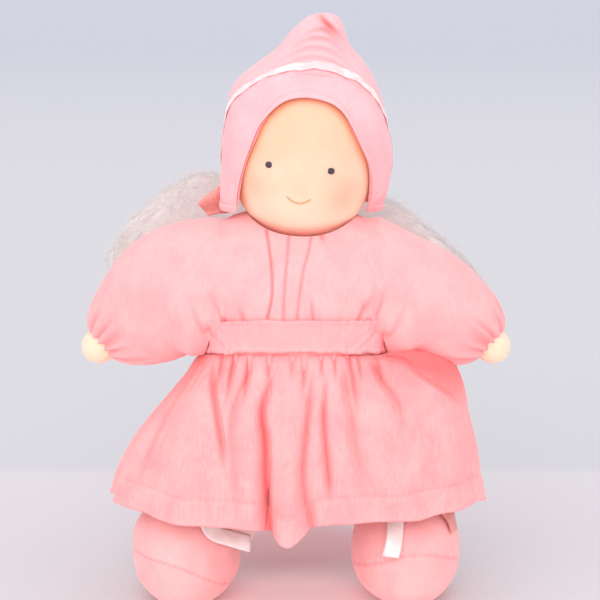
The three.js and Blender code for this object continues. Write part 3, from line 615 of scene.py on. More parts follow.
def hood_place(u, v):
    k = round(u * hood_columns) % hood_columns
    azimuth, low = edge[k]
    if u > 0.5 and k == 0:
        azimuth += 2 * math.pi
    row = round(v * hood_rows)
    length = (hood_height - low) * 1.12 + 4
    if row <= hem_rows:
        r = row / hem_rows * (hem_width + 2) / length
    else:
        start = (hem_width + 2) / length
        r = start + (1 - start) * (row - hem_rows) / (hood_rows - hem_rows)
    even = 2 * math.pi * (k / hood_columns)
    if u > 0.5 and k == 0:
        even += 2 * math.pi
    a = azimuth + (even - azimuth) * step(0.0, 0.75, r)
    height = low + (hood_height - low) * r
    spot = hood_at(a, height)
    fold = hood_wrinkles(spot.x, height) if math.cos(a) > 0 else 0.0
    d = r * length
    hem = 0.9 * math.sqrt(max(1 - ((d - 2.5) / 2.7) ** 2, 0)) - 0.7 * hump(d - hem_width, 0.7)
    soft = 0.9 * noise.noise(spot * 0.045) + 0.35 * noise.noise(spot * 0.12)
    to_fold = tip_fold(spot.x, height)
    crease = (-2.6 * hump(to_fold, 1.4) + 1.2 * hump(to_fold - 3, 2)) * step(8, 2, spot.y)
    crease *= hump(spot.x - 7, 8)
    out = Vector((math.sin(a), -math.cos(a), 0.25))
    rise = fold + hem * step(1.0, 0.97, r) + soft * step(0, 0.08, r) * step(1, 0.95, r) + crease
    spot += out.normalized() * rise
    middle = Vector((0, 0, head_middle))
    away = spot - middle
    outward = Vector((math.sin(a), -math.cos(a), 0))
    held = outward * head_girth(away.z, hood_off - 0.4) + Vector((0, 0, away.z)) + middle
    to_arch = arch.find(Vector((math.remainder(a, 2 * math.pi) * hood_radius, height, 0)))[2]
    near_face = step(16, 2, to_arch) * (1 - 0.35 * step(25, 42, away.z))
    relief = out.normalized() * (hem * 0.8 + 0.5)
    spot = spot.lerp(held + relief, near_face)
    drop = right_corner_drop if math.sin(a) < 0 else left_corner_drop
    spot.z -= drop * step(34, 3, height) * step(0.4, 0.8, abs(math.sin(a))) * step(-0.5, 0.2, math.cos(a))
    return on_head(spot)


def hood_fold_shade(point):
    """Painted shade on the hood: how far in a fold each point lies."""
    spot = from_head @ point / mm
    height = spot.z - hood_rim
    if spot.y > 6:
        return 0.0
    shade = 0.0
    for top, sag, half, depth in frowns:
        off = height - top + sag * ((spot.x - 3) / half) ** 2
        shade += 0.3 * depth * hump(off, 1.5) * hump(spot.x - 3, half)
    to_fold = tip_fold(spot.x, height)
    shade += (0.8 * hump(to_fold, 2.0) + 0.35 * hump(to_fold + 3, 3)) * hump(spot.x - 7, 7)
    return min(shade, 0.9)


cap = bmesh.new()
lay_grid(cap, hood_columns, hood_rows, hood_place)
close_up(cap, 0.05 * mm)
crown = max(cap.faces, key=lambda face: face.calc_center_median().z)
if crown.normal.z < 0:
    bmesh.ops.reverse_faces(cap, faces=cap.faces[:])
# A lighter, bluer copy of the pink velour for the hood: painted light, with the sky's light reflected off its
# top.
hood_pink_painted_lighter = velour("pink_velour_of_the_hood_painted_lighter", (0.93, 0.46, 0.475, 1), (0.90, 0.39, 0.415, 1))
hood = cloth_object("hood_shell", cap, hood_pink_painted_lighter)
with_modifiers(
    hood,
    ("SOLIDIFY", {"thickness": 2.0 * mm, "offset": -1.0, "use_even_offset": False}),
    ("BEVEL", {"width": 0.7 * mm, "segments": 2, "limit_method": "ANGLE", "angle_limit": math.radians(50)}),
)
# Painted shade in the hood's wrinkles and in the fold of its tip.
rub_on(hood, "fold", hood_fold_shade)
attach(hood, "head")
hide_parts("hood", "hood_stuffing")


# Flap behind the hood: where the hood's lower edge is drawn up at the nape, a corner of its velour is turned
# out at the doll's right, and the knit back of the cloth shows on it, darkened with painted shade.
knit_back_with_painted_shade = velour("knit_back_of_the_velour", (0.72, 0.33, 0.29, 1), (0.60, 0.23, 0.21, 1), ribs=0.6)
knit_thickness = 1.4
subdivided_once = ("SUBSURF", {"levels": 1, "render_levels": 1})
flap_root = ((-43, 2, 31), (-44, 4, 22), (-42, 8, 12))
flap_tip = ((-50, -2, 28), (-61.5, -4, 17.5), (-55, 0, 9.5))


def flap_place(u, v):
    upper, outer, lower = (Vector(point) for point in flap_tip)
    root, tip = along_points(flap_root, u), outer.lerp(upper if u < 0.5 else lower, abs(2 * u - 1))
    bend = Vector((0, -2.0, 0.5)) * math.sin(math.pi * v)
    bend += Vector((0, 2.0, 0)) * math.sin(3 * math.pi * u) * v
    return on_head(root.lerp(tip, v) + bend)


corner_cloth = bmesh.new()
lay_grid(corner_cloth, 20, 18, flap_place)
flap = cloth_object("hood_flap", corner_cloth, knit_back_with_painted_shade)
with_modifiers(flap, ("SOLIDIFY", {"thickness": knit_thickness * mm, "offset": 0.0}), subdivided_once)
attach(flap, "head")


# Ribbon round the hood: white satin, 6 mm wide, sewn on high in front and low at the nape. It lies in soft
# ripples, because it is caught down only here and there, and one tack shows over the doll's right brow.
def satin(name, light, deep):
    material, tree, shader = new_material(
        name, Roughness=0.32, Specular_IOR_Level=0.5, Sheen_Weight=0.2, Coat_Weight=0.15, Coat_Roughness=0.25,
    )
    place = add_node(tree, "Attribute", attribute_name="cloth_place").outputs["Vector"]
    fine = speckle(tree, place, 2600, 1)
    cloud = speckle(tree, place, 160, 2)
    tree.links.new(between(tree, span(tree, cloud, 0.35, 0.65), deep, light), shader["Base Color"])
    raise_relief(tree, shader, fine, 0.25, 0.06)
    return material


white_satin = satin("white_satin", (0.86, 0.73, 0.71, 1), (0.82, 0.65, 0.62, 1))
thin_satin = satin("thin_white_satin", (0.82, 0.66, 0.65, 1), (0.74, 0.50, 0.51, 1))
satin_wall = ("SOLIDIFY", {"thickness": 0.35 * mm, "offset": 1.0})
ribbon_width = 6
ribbon_tilt = math.tan(math.radians(60.5))
ribbon_roll = math.tan(math.radians(11.3))
ribbon_front = 83
nape_height = 9
ribbon_middle = ribbon_front + hood_at(0, ribbon_front).y * ribbon_tilt
tack_azimuth = -0.72


def ribbon_height(azimuth):
    """Where the ribbon's middle crosses the hood at an azimuth."""
    low, high = 0.0, hood_height
    for _ in range(24):
        height = (low + high) / 2
        spot = hood_at(azimuth, height)
        if height + spot.y * ribbon_tilt - spot.x * ribbon_roll > ribbon_middle:
            high = height
        else:
            low = height
    above_hem = low - nape_height
    return nape_height + (above_hem + math.hypot(above_hem, 4)) / 2


def ribbon_place(u, v):
    azimuth = 2 * math.pi * u - math.pi
    tack = hump((azimuth - tack_azimuth) * 50, 2.2)
    across = (v - 0.5) * ribbon_width * (1 - 0.28 * tack)
    ripple = 0.35 * math.sin(azimuth * 9) + 0.3 * math.sin(azimuth * 17 + 1)
    height = ribbon_height(azimuth) + ripple + 0.3
    slope = hood_at(azimuth, height + 0.5) - hood_at(azimuth, height - 0.5)
    lift = 0.4 + 0.35 * math.sin(azimuth * 23) * v + 0.25 * math.sin(azimuth * 31 + 2) * (1 - v) - 0.7 * tack
    wrinkle = hood_wrinkles(hood_at(azimuth, height).x, height) if math.cos(azimuth) > 0 else 0.0
    spot = hood_at(azimuth, height)
    soft = 0.9 * noise.noise(spot * 0.045) + 0.35 * noise.noise(spot * 0.12)
    middle = hood_at(azimuth, height, lift + max(wrinkle, 0) + soft + 0.1)
    return on_head(middle + slope.normalized() * across)


def turn_outwards(bm, middle, k=0):
    """Turns a whole form over if one of its faces looks towards the middle."""
    some = bm.faces[k]
    if some.normal.dot(some.calc_center_median() - middle) < 0:
        bmesh.ops.reverse_faces(bm, faces=bm.faces[:])


strip = bmesh.new()
lay_grid(strip, 300, 6, ribbon_place)
close_up(strip)
turn_outwards(strip, head_place.translation)
hood_ribbon = cloth_object("satin_hood_ribbon", strip, thin_satin)
with_modifiers(hood_ribbon, satin_wall)
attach(hood_ribbon, "head")
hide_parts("hood_ribbon")


# Body: chest, shoulders and arms of one pink velour form, stuffed with wool and drawn in at the waist. Three
# narrow tucks are pressed down the front, and the sleeves run out full and are gathered to the wrists.
seat_height = 116
torso_height = 125
chest_half_width = 61
chest_half_depth = 43
torso_rows = ((0, 0.76, 0.72, -1), (0.08, 0.83, 0.86, -1.6), (0.24, 0.87, 0.94, -2), (0.39, 0.885, 0.953, -2),
              (0.55, 0.95, 1, -0.5), (0.68, 0.984, 0.98, 1.2), (0.79, 0.95, 0.884, 3), (0.87, 0.885, 0.767, 5),
              (0.94, 0.754, 0.628, 7), (0.98, 0.59, 0.488, 8), (1, 0.39, 0.326, 9))
torso_widths = [(row[0], row[1]) for row in torso_rows]
torso_depths = [(row[0], row[2]) for row in torso_rows]
torso_leans = [(row[0], row[3]) for row in torso_rows]
torso_power = 2.6
waist_height = 165
band_height = 21
band_tilt = math.tan(math.radians(10))
armhole = 50
shoulder_height = 203
arm_reach = 69.3
arm_drop = 44
sleeve_rows = ((0, 0, 0.884, 0.94, 0), (0.187, 0.15, 1, 1, 4), (0.411, 0.285, 1.02, 0.97, 8),
               (0.62, 0.445, 0.94, 0.87, 13), (0.8, 0.64, 0.75, 0.70, 18), (0.93, 0.82, 0.53, 0.50, 28),
               (0.99, 0.955, 0.31, 0.33, 40), (0.97, 0.93, 0, 0, 40))
sleeve_half_height = 39.6
sleeve_half_depth = 32
sleeve_tables = [[(k, row[n]) for k, row in enumerate(sleeve_rows)] for n in range(5)]


def rounded(angle, half_width, half_depth, power=2.0):
    """A point of a rounded oblong, at an angle about its middle."""
    c, s = math.cos(angle), math.sin(angle)
    across = math.copysign(abs(c) ** (2 / power), c)
    back = math.copysign(abs(s) ** (2 / power), s)
    return half_width * across, half_depth * back


def torso_at(angle, height, off=0.0):
    """A point of the body's plain form at a height above the floor."""
    share = (height - seat_height) / torso_height
    half_width = chest_half_width * through(torso_widths, share) + off
    half_depth = chest_half_depth * through(torso_depths, share) + off
    x, y = rounded(angle, half_width, half_depth, torso_power)
    return Vector((x, y + through(torso_leans, share), height))


def sleeve_at(side, angle, row):
    """A point of a sleeve's plain form, from row 0 at the armhole to row 7 at the wrist."""
    inside = min(row, 0)
    reach, drop, tall, deep, tilt = (through(table, row) for table in sleeve_tables)
    tilt = math.radians(tilt)
    full = 1 + 0.25 * inside
    up, back = rounded(angle, sleeve_half_height * tall * full, sleeve_half_depth * deep * full)
    return Vector((
        side * (armhole + arm_reach * reach + up * math.sin(tilt) + 30 * inside),
        back,
        shoulder_height - arm_drop * drop + up * math.cos(tilt),
    ))


def closed_ends(v, over):
    """How far up a closed form a row lies, from 0 to 1, and how wide it is where both ends close."""
    rows = (1 + 2 * over) * v - over
    closing = 1 - step(0, -over, rows) if rows < 0 else 1 - step(1, 1 + over, rows)
    return min(max(rows, 0), 1), closing


def torso_part(u, v, low, high, over):
    """A point of the body's plain form between two heights, closed above and below."""
    share, closing = closed_ends(v, over)
    height = low + (high - low) * share
    spot = torso_at(2 * math.pi * u, height)
    lean = through(torso_leans, (height - seat_height) / torso_height)
    return Vector((spot.x * closing, (spot.y - lean) * closing + lean, height)) * mm


body = bmesh.new()
torso_top = seat_height + torso_height
lay_grid(body, 80, 60, lambda u, v: torso_part(u, v, waist_height + 0.3, torso_top, 0.08))
for side in (1, -1):
    lay_grid(body, 64, 60, lambda u, v, side=side: sleeve_at(side, 2 * math.pi * u, -1 + 8 * v) * mm)
close_up(body, 0.03 * mm)
trunk = as_object("trunk", body, pink)
with_modifiers(trunk, ("REMESH", {"mode": "VOXEL", "voxel_size": 2.3 * mm}))

hand_reach, hand_fall = armhole + arm_reach, shoulder_height - arm_drop
wrist_tilt = math.radians(36)
tuck_lines = (
    ((184, -16.5), (196, -14), (210, -14), (222, -15.5), (233, -17.5)),
    ((184, -7.2), (196, -6.8), (210, -5.8), (222, -4.6), (233, -3.9)),
    ((184, 0.9), (196, 2.2), (210, 4.2), (222, 7.6), (233, 9.8)),
)
tuck_depths = (1.9, 1.3, 1.3)
gathers_foot = 178
waist_gathers = ((-30, -0.30, 1.6, 17), (-41, -0.45, 1.5, 22), (-52, -0.55, 1.4, 22),
                 (36, 0.42, 1.8, 30), (45, 0.36, 1.5, 26), (54, 0.6, 1.3, 18), (25, 0.1, 0.5, 12))


def chest_relief(x, z):
    """The pressed tucks and the small puckers over the waistband, in mm, on the front of the body."""
    relief = 0.0
    fade = step(247, 236, z)
    for line, depth in zip(tuck_lines, tuck_depths):
        off = x - through(line, z)
        relief += fade * (-depth * hump(off, 0.75) + 0.55 * hump(abs(off) - 2.6, 2.4))
    notch = -2.4 * hump(x - 14.5 - 0.35 * (232 - z), 1.5) * step(224, 231, z)
    low_tuck = -1.0 * hump(x - 10 + 0.1 * (z - 184), 0.9) * step(199, 188, z)
    gathers = 0.0
    for start, slant, depth, length in waist_gathers:
        fall = (z - gathers_foot) / length
        off = x - start - slant * (z - gathers_foot)
        gathers -= depth * hump(off, 1.5 + 1.4 * max(fall, 0)) * step(1.1, 0.1, fall)
    return relief + notch + low_tuck + gathers


def chest_fold_shade(x, z):
    """Painted shade on the front of the body: how far in a tuck or a pucker each place lies, and the shadow
    under the chin.
    """
    shade = 0.0
    for line, depth in zip(tuck_lines, tuck_depths):
        shade += 0.3 * depth * hump(x - through(line, z), 0.5) * step(246, 236, z)
    shade += 0.5 * hump(x - 14.5 - 0.35 * (232 - z), 1.1) * step(224, 231, z)
    shade += 0.45 * hump(x - 10 + 0.1 * (z - 184), 0.8) * step(199, 188, z)
    for start, slant, depth, length in waist_gathers:
        fall = (z - gathers_foot) / length
        off = x - start - slant * (z - gathers_foot)
        shade += 0.3 * depth * hump(off, 0.9 + 1.2 * max(fall, 0)) * step(1.1, 0.2, fall)
    return min(shade + 0.4 * step(224, 237, z) * hump(x + 1, 27), 0.9)


def noise_round(angle, scale, level):
    """Soft noise that closes on itself round a piece."""
    return noise.noise(Vector((math.cos(angle) * scale, math.sin(angle) * scale, level)))


def wrist_pucker(point):
    """The gathers that run up the sleeve from the wrist, in mm."""
    side = math.copysign(1, point.x)
    off = point - Vector((side * hand_reach, 0, hand_fall))
    out = Vector((side * math.cos(wrist_tilt), 0, -math.sin(wrist_tilt)))
    up = Vector((side * math.sin(wrist_tilt), 0, math.cos(wrist_tilt)))
    back_along = -off.dot(out)
    angle = math.atan2(off.dot(up), off.y)
    wander = 2.2 * noise_round(angle, 3, side)
    reach = step(25 + 5 * math.sin(5 * angle), 4, back_along)
    return reach * (1.2 * math.cos(13 * angle + wander) - 0.3)


def out_of_the_head(point):
    """Presses the shoulders down where the head sits in them, and in front of the chin, which hangs over."""
    spot = from_head @ (point * mm) / mm
    spot.z -= head_middle
    forward = min(max(-spot.y, 0), 34)
    raised = forward * math.tan(math.radians(8.5))
    girth = math.hypot(spot.x, spot.y + forward)
    half = head_half_height + 0.4
    share = girth / (head_radius + 0.4)
    if share >= 1 or spot.z - raised > 0:
        return point
    floor = raised - half * (1 - share**head_fullness) ** (1 / head_fullness)
    if spot.z <= floor:
        return point
    spot.z = floor + head_middle
    return head_place @ (spot * mm) / mm


def over_the_band(point):
    """Puffs the sleeves' undersides out over the corners of the waistband."""
    x, y, z = abs(point.x), point.y, point.z
    slanted = abs(point.x - 1) + 0.6 * max(z - 169, 0)
    puff = step(46, 55, slanted) * step(38, 46, x) * step(84, 64, x)
    puff = puff * step(156, 168, z) * step(208, 182, z) * step(6, -12, y)
    moved = point + Vector((0, -4, -9.5 * step(48, 56, x) * step(80, 60, x))) * puff
    if z - waist_height + y * band_tilt - band_height / 2 > 0.5 and puff == 0 or x < 38:
        return moved
    share = (max(moved.z, seat_height) - seat_height) / torso_height
    half_width = chest_half_width * through(torso_widths, share) + 2.6
    half_depth = chest_half_depth * through(torso_depths, share) + 2.6
    lean = through(torso_leans, share)
    inside = (abs(moved.x) / half_width) ** torso_power + (abs(moved.y - lean) / half_depth) ** torso_power
    if inside < 1:
        grow = max(inside, 0.2) ** (-1 / torso_power)
        outside = Vector((moved.x * grow, lean + (moved.y - lean) * grow, moved.z))
        return moved.lerp(outside, max(step(0.05, 0.45, puff), step(armhole + 2, armhole + 4, x)))
    return moved


left_arm_slimmer = [(50, 0), (62, 4.5), (75, 8), (96, 9.5), (111, 7.3), (121, 3), (128, 1)]


def slimmer(point):
    """The left arm is stuffed less full on top than the right one."""
    middle = shoulder_height - 0.55 * (point.x - armhole)
    return point - Vector((0, 0, through(left_arm_slimmer, point.x) * step(middle, middle + 26, point.z)))


cloth = bmesh.new()
cloth.from_mesh(trunk.data)
bpy.data.objects.remove(trunk)
every_way = {"use_axis_x": True, "use_axis_y": True, "use_axis_z": True}
for _ in range(7):
    bmesh.ops.smooth_vert(cloth, verts=cloth.verts[:], factor=0.5, **every_way)
trunk = as_object("trunk", cloth, pink)
with_modifiers(trunk, subdivided_once)
cloth = bmesh.new()
cloth.from_mesh(trunk.data)
bpy.data.objects.remove(trunk)
finely = [e for e in cloth.edges if max(v.co.y for v in e.verts) < -8 * mm and
          max(abs(v.co.x + 2 * mm) for v in e.verts) < 22 * mm]
bmesh.ops.subdivide_edges(cloth, edges=finely, cuts=1, use_grid_fill=True)
cloth.normal_update()
fold = cloth.verts.layers.float.new("fold")
moves = []
for vert in cloth.verts:
    spot = vert.co / mm
    relief = 0.5 * noise.noise(spot * 0.05) + 0.25 * noise.noise(spot * 0.11)
    if spot.y < 0:
        relief += chest_relief(spot.x, spot.z) * step(-0.3, -0.7, vert.normal.y)
        # Painted shade in the tucks and puckers and under the chin.
        vert[fold] = chest_fold_shade(spot.x, spot.z) * step(-0.1, -0.5, vert.normal.y)
    if abs(spot.x) > 80:
        relief += wrist_pucker(spot)
        # Painted shade in the gathers at the wrist.
        vert[fold] = min(max(-0.35 * wrist_pucker(spot), 0), 0.5)
    moves.append(slimmer(over_the_band(out_of_the_head(spot + vert.normal * relief))) * mm)
for vert, place in zip(cloth.verts, moves):
    vert.co = place
top, foot = Vector((through(tuck_lines[1], 233), 0, 233)), Vector((through(tuck_lines[1], 184), 0, 184))
across = (top - foot).cross(Vector((0, 1, 0)))
across *= math.copysign(1, across.x)
for side, name in ((1, "left"), (-1, "right")):
    half = cloth.copy()
    whole = half.verts[:] + half.edges[:] + half.faces[:]
    bmesh.ops.bisect_plane(half, geom=whole, plane_co=foot * mm, plane_no=across * side, clear_inner=True)
    shell = cloth_object(f"stuffed_body_{name}", half, pink)
    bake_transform(shell, "torso", f"arm_{name}", start=(side * 0.028, 0, 0.203), end=(side * 0.075, 0, 0.195))
    inner = ["torso_stuffing", "bodice"] if side > 0 else []
    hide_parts(f"sleeve_{name}", f"arm_stuffing_{name}", *inner)
cloth.free()

# Hands: small balls of wool in the same knit as the head, tied off and sewn into the gathered wrists. They
# are drawn in to the wrist in fine puckers and run out a little towards the fingers' end.
hand_radius = 10.5
for side, name in ((1, "left"), (-1, "right")):
    middle = Vector((side * hand_reach, 0, hand_fall))
    out = Vector((side * math.cos(wrist_tilt), 0, -math.sin(wrist_tilt)))
    palm = bmesh.new()
    bmesh.ops.create_uvsphere(palm, u_segments=56, v_segments=32, radius=1)
    turn = Vector((0, 0, 1)).rotation_difference(out).to_matrix()
    for vert in palm.verts:
        around = math.atan2(vert.co.y, vert.co.x)
        pucker = 0.4 * math.cos(11 * around) * step(0.35, -0.5, vert.co.z)
        longer = 1 + 0.08 * max(vert.co.z, 0)
        spot = turn @ (vert.co * longer) * (hand_radius + pucker)
        vert.co = (middle + spot) * mm
    hand = as_object(f"knit_hand_{name}", palm, skin)
    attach(hand, f"arm_{name}")
    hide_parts(f"hand_skin_{name}", f"hand_stuffing_{name}")


# Seat and legs: the lower body is a plain velour seat, hidden by the skirt. Two soft legs are sewn flat to
# its underside and spread to the ankles, where they go down into the booties.
# A darker copy of the pink velour for the seat and legs under the skirt: painted shade.
pink_in_painted_shade = velour("pink_velour_in_the_shade", (0.90, 0.36, 0.36, 1), (0.88, 0.32, 0.33, 1))


seat = bmesh.new()
lay_grid(seat, 96, 52, lambda u, v: torso_part(u, v, seat_height, waist_height - 0.3, 0.15))
close_up(seat)
drawers = cloth_object("stuffed_seat", seat, pink_in_painted_shade)
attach(drawers, "torso")
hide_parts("drawers")

hip_spread = 27
foot_spread = 68
foot_back = 2
foot_half_width = 33.5
foot_half_length = 40
foot_height = 62
ankle_height = 48
leg_end_spread = foot_spread - 0.18 * foot_half_width
leg_spreads = [(0, leg_end_spread), (0.2, 60), (0.36, 54.5), (0.66, 39.7), (1, hip_spread)]
leg_radii = [(0, 13.6), (0.2, 14.4), (0.36, 17), (0.66, 20), (1, 20)]


def leg_at(side, angle, height, off=0.0):
    share = (height - ankle_height) / (seat_height - ankle_height)
    radius = through(leg_radii, share) + off
    x = side * through(leg_spreads, share) + radius * math.cos(angle)
    return Vector((x, radius * math.sin(angle), height))


for side, name in ((1, "left"), (-1, "right")):
    def leg_place(u, v, side=side):
        share, closing = closed_ends(v, 0.08)
        height = ankle_height + (seat_height - 0.4 - ankle_height) * share
        angle = 2 * math.pi * u
        middle = (leg_at(side, 0, height) + leg_at(side, math.pi, height)) / 2
        creases = 0.5 * math.sin(height / 3.1 + 1.5 * math.sin(angle + side)) * step(75, 110, height)
        wander = noise_round(angle, 1.2, height / 25)
        return middle.lerp(leg_at(side, angle, height, creases + wander), closing) * mm

    tube = bmesh.new()
    lay_grid(tube, 56, 64, leg_place)
    close_up(tube)
    leg = cloth_object(f"stuffed_leg_{name}", tube, pink_in_painted_shade)
    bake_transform(leg, "torso", f"leg_{name}", start=(side * 0.027, 0, 0.117), end=(side * 0.034, 0, 0.09))
    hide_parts(f"leg_cover_{name}", f"leg_stuffing_{name}")


# Booties: round velour boots, stuffed hard so that the doll stands on them. A seam runs round each toe where
# the upper meets the sole part, and a cuff stands up round the ankle, its knit back inside darkened with
# painted shade.
seam_heights = {
    "left": [(-32, -6), (-27, -3.4), (-16, 1.6), (-3.5, 6.4), (10.6, 6.5), (19, 4.1), (28, -0.3), (33, -3)],
    "right": [(-32, 3), (-23, 2.2), (-10.6, 0.9), (1.8, -2.3), (11.8, -7.6), (24.8, -16), (32, -19)],
}
sole_flat = 0.5
side_fullness = 2.5
sole_fullness = 4
boot_middle = (foot_height + sole_flat) / 2 - sole_flat


def boot_at(direction):
    """A point of a boot's plain form, in a direction from its middle."""
    lowest = sole_flat / (boot_middle + sole_flat) - 1
    level = max(min(direction.z, 0.9995), lowest)
    under = 1.0
    if direction.z < lowest:
        under = min(math.sqrt(max(1 - direction.z**2, 0)) / math.sqrt(1 - lowest**2), 1)
    fullness = sole_fullness if level < 0 else side_fullness
    half_width = foot_half_width * (1 - abs(level) ** side_fullness) ** (1 / side_fullness)
    half_length = foot_half_length * (1 - abs(level) ** fullness) ** (1 / fullness)
    flat = Vector((direction.x, direction.y)).normalized() if abs(direction.z) < 0.99999 else Vector((0, 0))
    height = level * (boot_middle + sole_flat)
    return Vector((flat.x * half_width * under, flat.y * half_length * under, height))


boot_pink = velour("pink_velour_of_the_booties", (0.93, 0.45, 0.44, 1), (0.88, 0.37, 0.37, 1), ribs=0.2)
cuff_low = 57
cuff_high = 77
for side, name in ((1, "left"), (-1, "right")):
    foot_middle = Vector((side * foot_spread, foot_back, boot_middle))
    boot = bmesh.new()
    fold = boot.verts.layers.float.new("fold")
    bmesh.ops.create_uvsphere(boot, u_segments=180, v_segments=110, radius=1)
    for vert in boot.verts:
        direction = vert.co.normalized()
        spot = boot_at(direction)
        seam_at = through(seam_heights[name], spot.x) * step(0.1, -0.3, direction.y)
        seam_at += 2 * step(-0.3, 0.1, direction.y)
        off = spot.z - seam_at
        puckers = 0.3 * math.sin(spot.x * 1.5 + 2 * math.sin(spot.x * 0.4)) * hump(off, 3.0)
        seam = -0.8 * hump(off, 0.8) + 0.3 * hump(abs(off) - 2.2, 1.6) + puckers
        toe = step(0.2, -0.2, direction.y + 0.2) * step(0.97, 0.9, abs(direction.z))
        swell = 0.8 * noise.noise(spot * 0.05 + Vector((side * 9, 0, 0))) * step(-0.98, -0.8, direction.z)
        dip = -4 * step(17, 8, math.hypot(spot.x + side * 6, spot.y)) * step(0.5, 0.9, direction.z)
        spot += direction * (seam * toe + swell) + Vector((0, 0, dip))
        vert.co = (foot_middle + Vector((spot.x, spot.y, max(spot.z, -boot_middle)))) * mm
        stitched = hump(off, 0.55) * step(-0.5, 0.2, math.sin(spot.x * 2.1))
        # The toe seam's stitches, and a little painted shade along its groove.
        vert[fold] = 0.4 * toe * stitched + 0.08 * toe * hump(off, 2.0)
    bootie = cloth_object(f"velour_bootie_{name}", boot, boot_pink)
    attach(bootie, f"leg_{name}")
    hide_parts(f"bootie_{name}", f"foot_stuffing_{name}")

    def cuff_place(u, v, side=side):
        angle = 2 * math.pi * u
        height = cuff_low + (cuff_high - cuff_low) * v
        waves = 0.8 * math.sin(5 * angle + side) * v + 0.5 * math.sin(11 * angle) * v
        drawn_in = -0.6 * hump(height - 67, 4)
        behind = hump(math.remainder(angle - math.pi / 2 + side * 1.0, 2 * math.pi), 0.45)
        turned_out = 9.0 * behind * step(0.5, 1, v)
        spot = leg_at(side, angle, height, 2.2 + waves + drawn_in + turned_out)
        spot.z -= 5 * behind * step(0.6, 1, v)
        return spot * mm

    band = bmesh.new()
    lay_grid(band, 72, 14, cuff_place)
    close_up(band)
    cuff = cloth_object(f"bootie_cuff_{name}", band, boot_pink)
    cuff.data.materials.append(knit_back_with_painted_shade)
    wall = ("SOLIDIFY", {"thickness": knit_thickness * mm, "offset": -1.0, "material_offset": 1})
    with_modifiers(cuff, wall, subdivided_once)
    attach(cuff, f"leg_{name}")

# The cuff of the left bootie is open at its outer side, and its end hangs down over the boot, back outwards,
# with painted shade on its knit back.
loose_inner = ((82, -14, 66), (86, -17, 62), (91.5, -18, 55), (94.5, -20, 46))
loose_outer = ((84, 2, 68), (90, 1, 65), (96.5, -3, 57), (98.5, -10, 46))


def loose_end_place(u, v):
    spot = along_points(loose_inner, v).lerp(along_points(loose_outer, v), u)
    swell = 1.2 * math.sin(math.pi * u) + 0.5 * math.sin(9 * v + 4 * u)
    return (spot + Vector((0.6, -0.3, 1.0)) * swell) * mm


loose = bmesh.new()
lay_grid(loose, 12, 20, loose_end_place)
loose_end = cloth_object("cuff_loose_end", loose, knit_back_with_painted_shade)
with_modifiers(loose_end, ("SOLIDIFY", {"thickness": knit_thickness * mm, "offset": 0.0}))
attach(loose_end, "leg_left")


# Ankle ribbons: 10 mm white satin tied round each cuff, with the loose ends cut slantwise. One end falls
# down the front of the left boot and one lies over the inner side of the right.
ankle_ribbon_width = 10
tails = {
    "left": (((-0.26, -0.36, 1.1), (-0.25, -0.62, 1.05), (-0.25, -0.86, 0.88), (-0.28, -1.0, 0.74),
              (-0.35, -1.06, 0.6)),
             ((-0.4, -0.2, 1.1), (-0.62, -0.45, 1.06), (-0.84, -0.52, 0.98), (-0.98, -0.5, 0.93))),
    "right": (((-0.26, -0.36, 1.1), (-0.36, -0.68, 1.02), (-0.52, -0.84, 0.83), (-0.86, -0.76, 0.735),
               (-1.22, -0.66, 0.66)),
              ((-0.42, -0.3, 1.08), (-0.62, -0.5, 1.0), (-0.92, -0.5, 0.85), (-1.26, -0.58, 0.7))),
}


def ribbon_along(bm, route, foot, width):
    """A flat ribbon along a line, its face turned from the foot to the front and its end cut slantwise."""
    cut = 0.35

    def place(u, v):
        t = v * (1 - 0.05 * cut) + cut * 0.1 * (u - 0.5) * step(0.7, 1, v)
        middle = along_points(route, t)
        ahead = heading(route, t).normalized()
        facing = (middle - foot).normalized().lerp(Vector((0.1, -0.9, 0.5)), step(0.25, 0.7, v))
        side_on = ahead.cross(facing).normalized()
        up = side_on.cross(ahead).normalized()
        bow = 0.6 - 2.4 * (u - 0.5) ** 2 + 0.5 * math.sin(7 * v + 3 * u)
        return (middle + side_on * (u - 0.5) * width + up * bow) * mm

    lay_grid(bm, 8, 40, place)


for side, name in ((1, "left"), (-1, "right")):
    foot = Vector((side * foot_spread, foot_back, foot_height / 2))
    tie = bmesh.new()

    def ring_place(u, v, side=side):
        angle = 2 * math.pi * u
        height = 67.5 + (v - 0.5) * ankle_ribbon_width + 0.5 * math.sin(3 * angle)
        return leg_at(side, angle, height, 3.1 + 0.3 * math.sin(9 * angle + 4 * v)) * mm

    lay_grid(tie, 80, 6, ring_place)
    for route in tails[name]:
        points = []
        for across, back, up in route:
            x = side * (foot_spread + across * foot_half_width)
            points.append(Vector((x, foot_back + back * foot_half_length, up * foot_height)))
        ribbon_along(tie, points, foot, ankle_ribbon_width)
    close_up(tie)
    for face in tie.faces:
        if face.normal.dot(face.calc_center_median() - foot * mm) < 0:
            face.normal_flip()
    ribbon = cloth_object(f"satin_ankle_ribbon_{name}", tie, white_satin)
    with_modifiers(ribbon, satin_wall)
    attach(ribbon, f"leg_{name}")
    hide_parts(f"ankle_ribbon_{name}")


# Waistband: a strip of the velour with its knit ribs upright, folded under at both edges and sewn flat over
# the seam between body and skirt. It rides up over the belly.
ribbed_pink = velour("pink_velour_ribbed", (0.92, 0.385, 0.385, 1), (0.89, 0.335, 0.345, 1), ribs=0.6)
band_thickness = 2.2
# The slanting creases in front: each one's place, its slant and its depth.
band_creases = ((43, 0.9, 0.9), (37, 1.0, 0.5), (-47, -0.8, 0.7), (-38, -0.9, 0.4), (24, 0.5, 0.4))


def band_at(angle, up, off):
    """A point of the waistband, so many millimetres above its middle line."""
    height = waist_height + up
    for _ in range(4):
        spot = torso_at(angle, height, off)
        height = waist_height + up - spot.y * band_tilt
    return torso_at(angle, height, off)


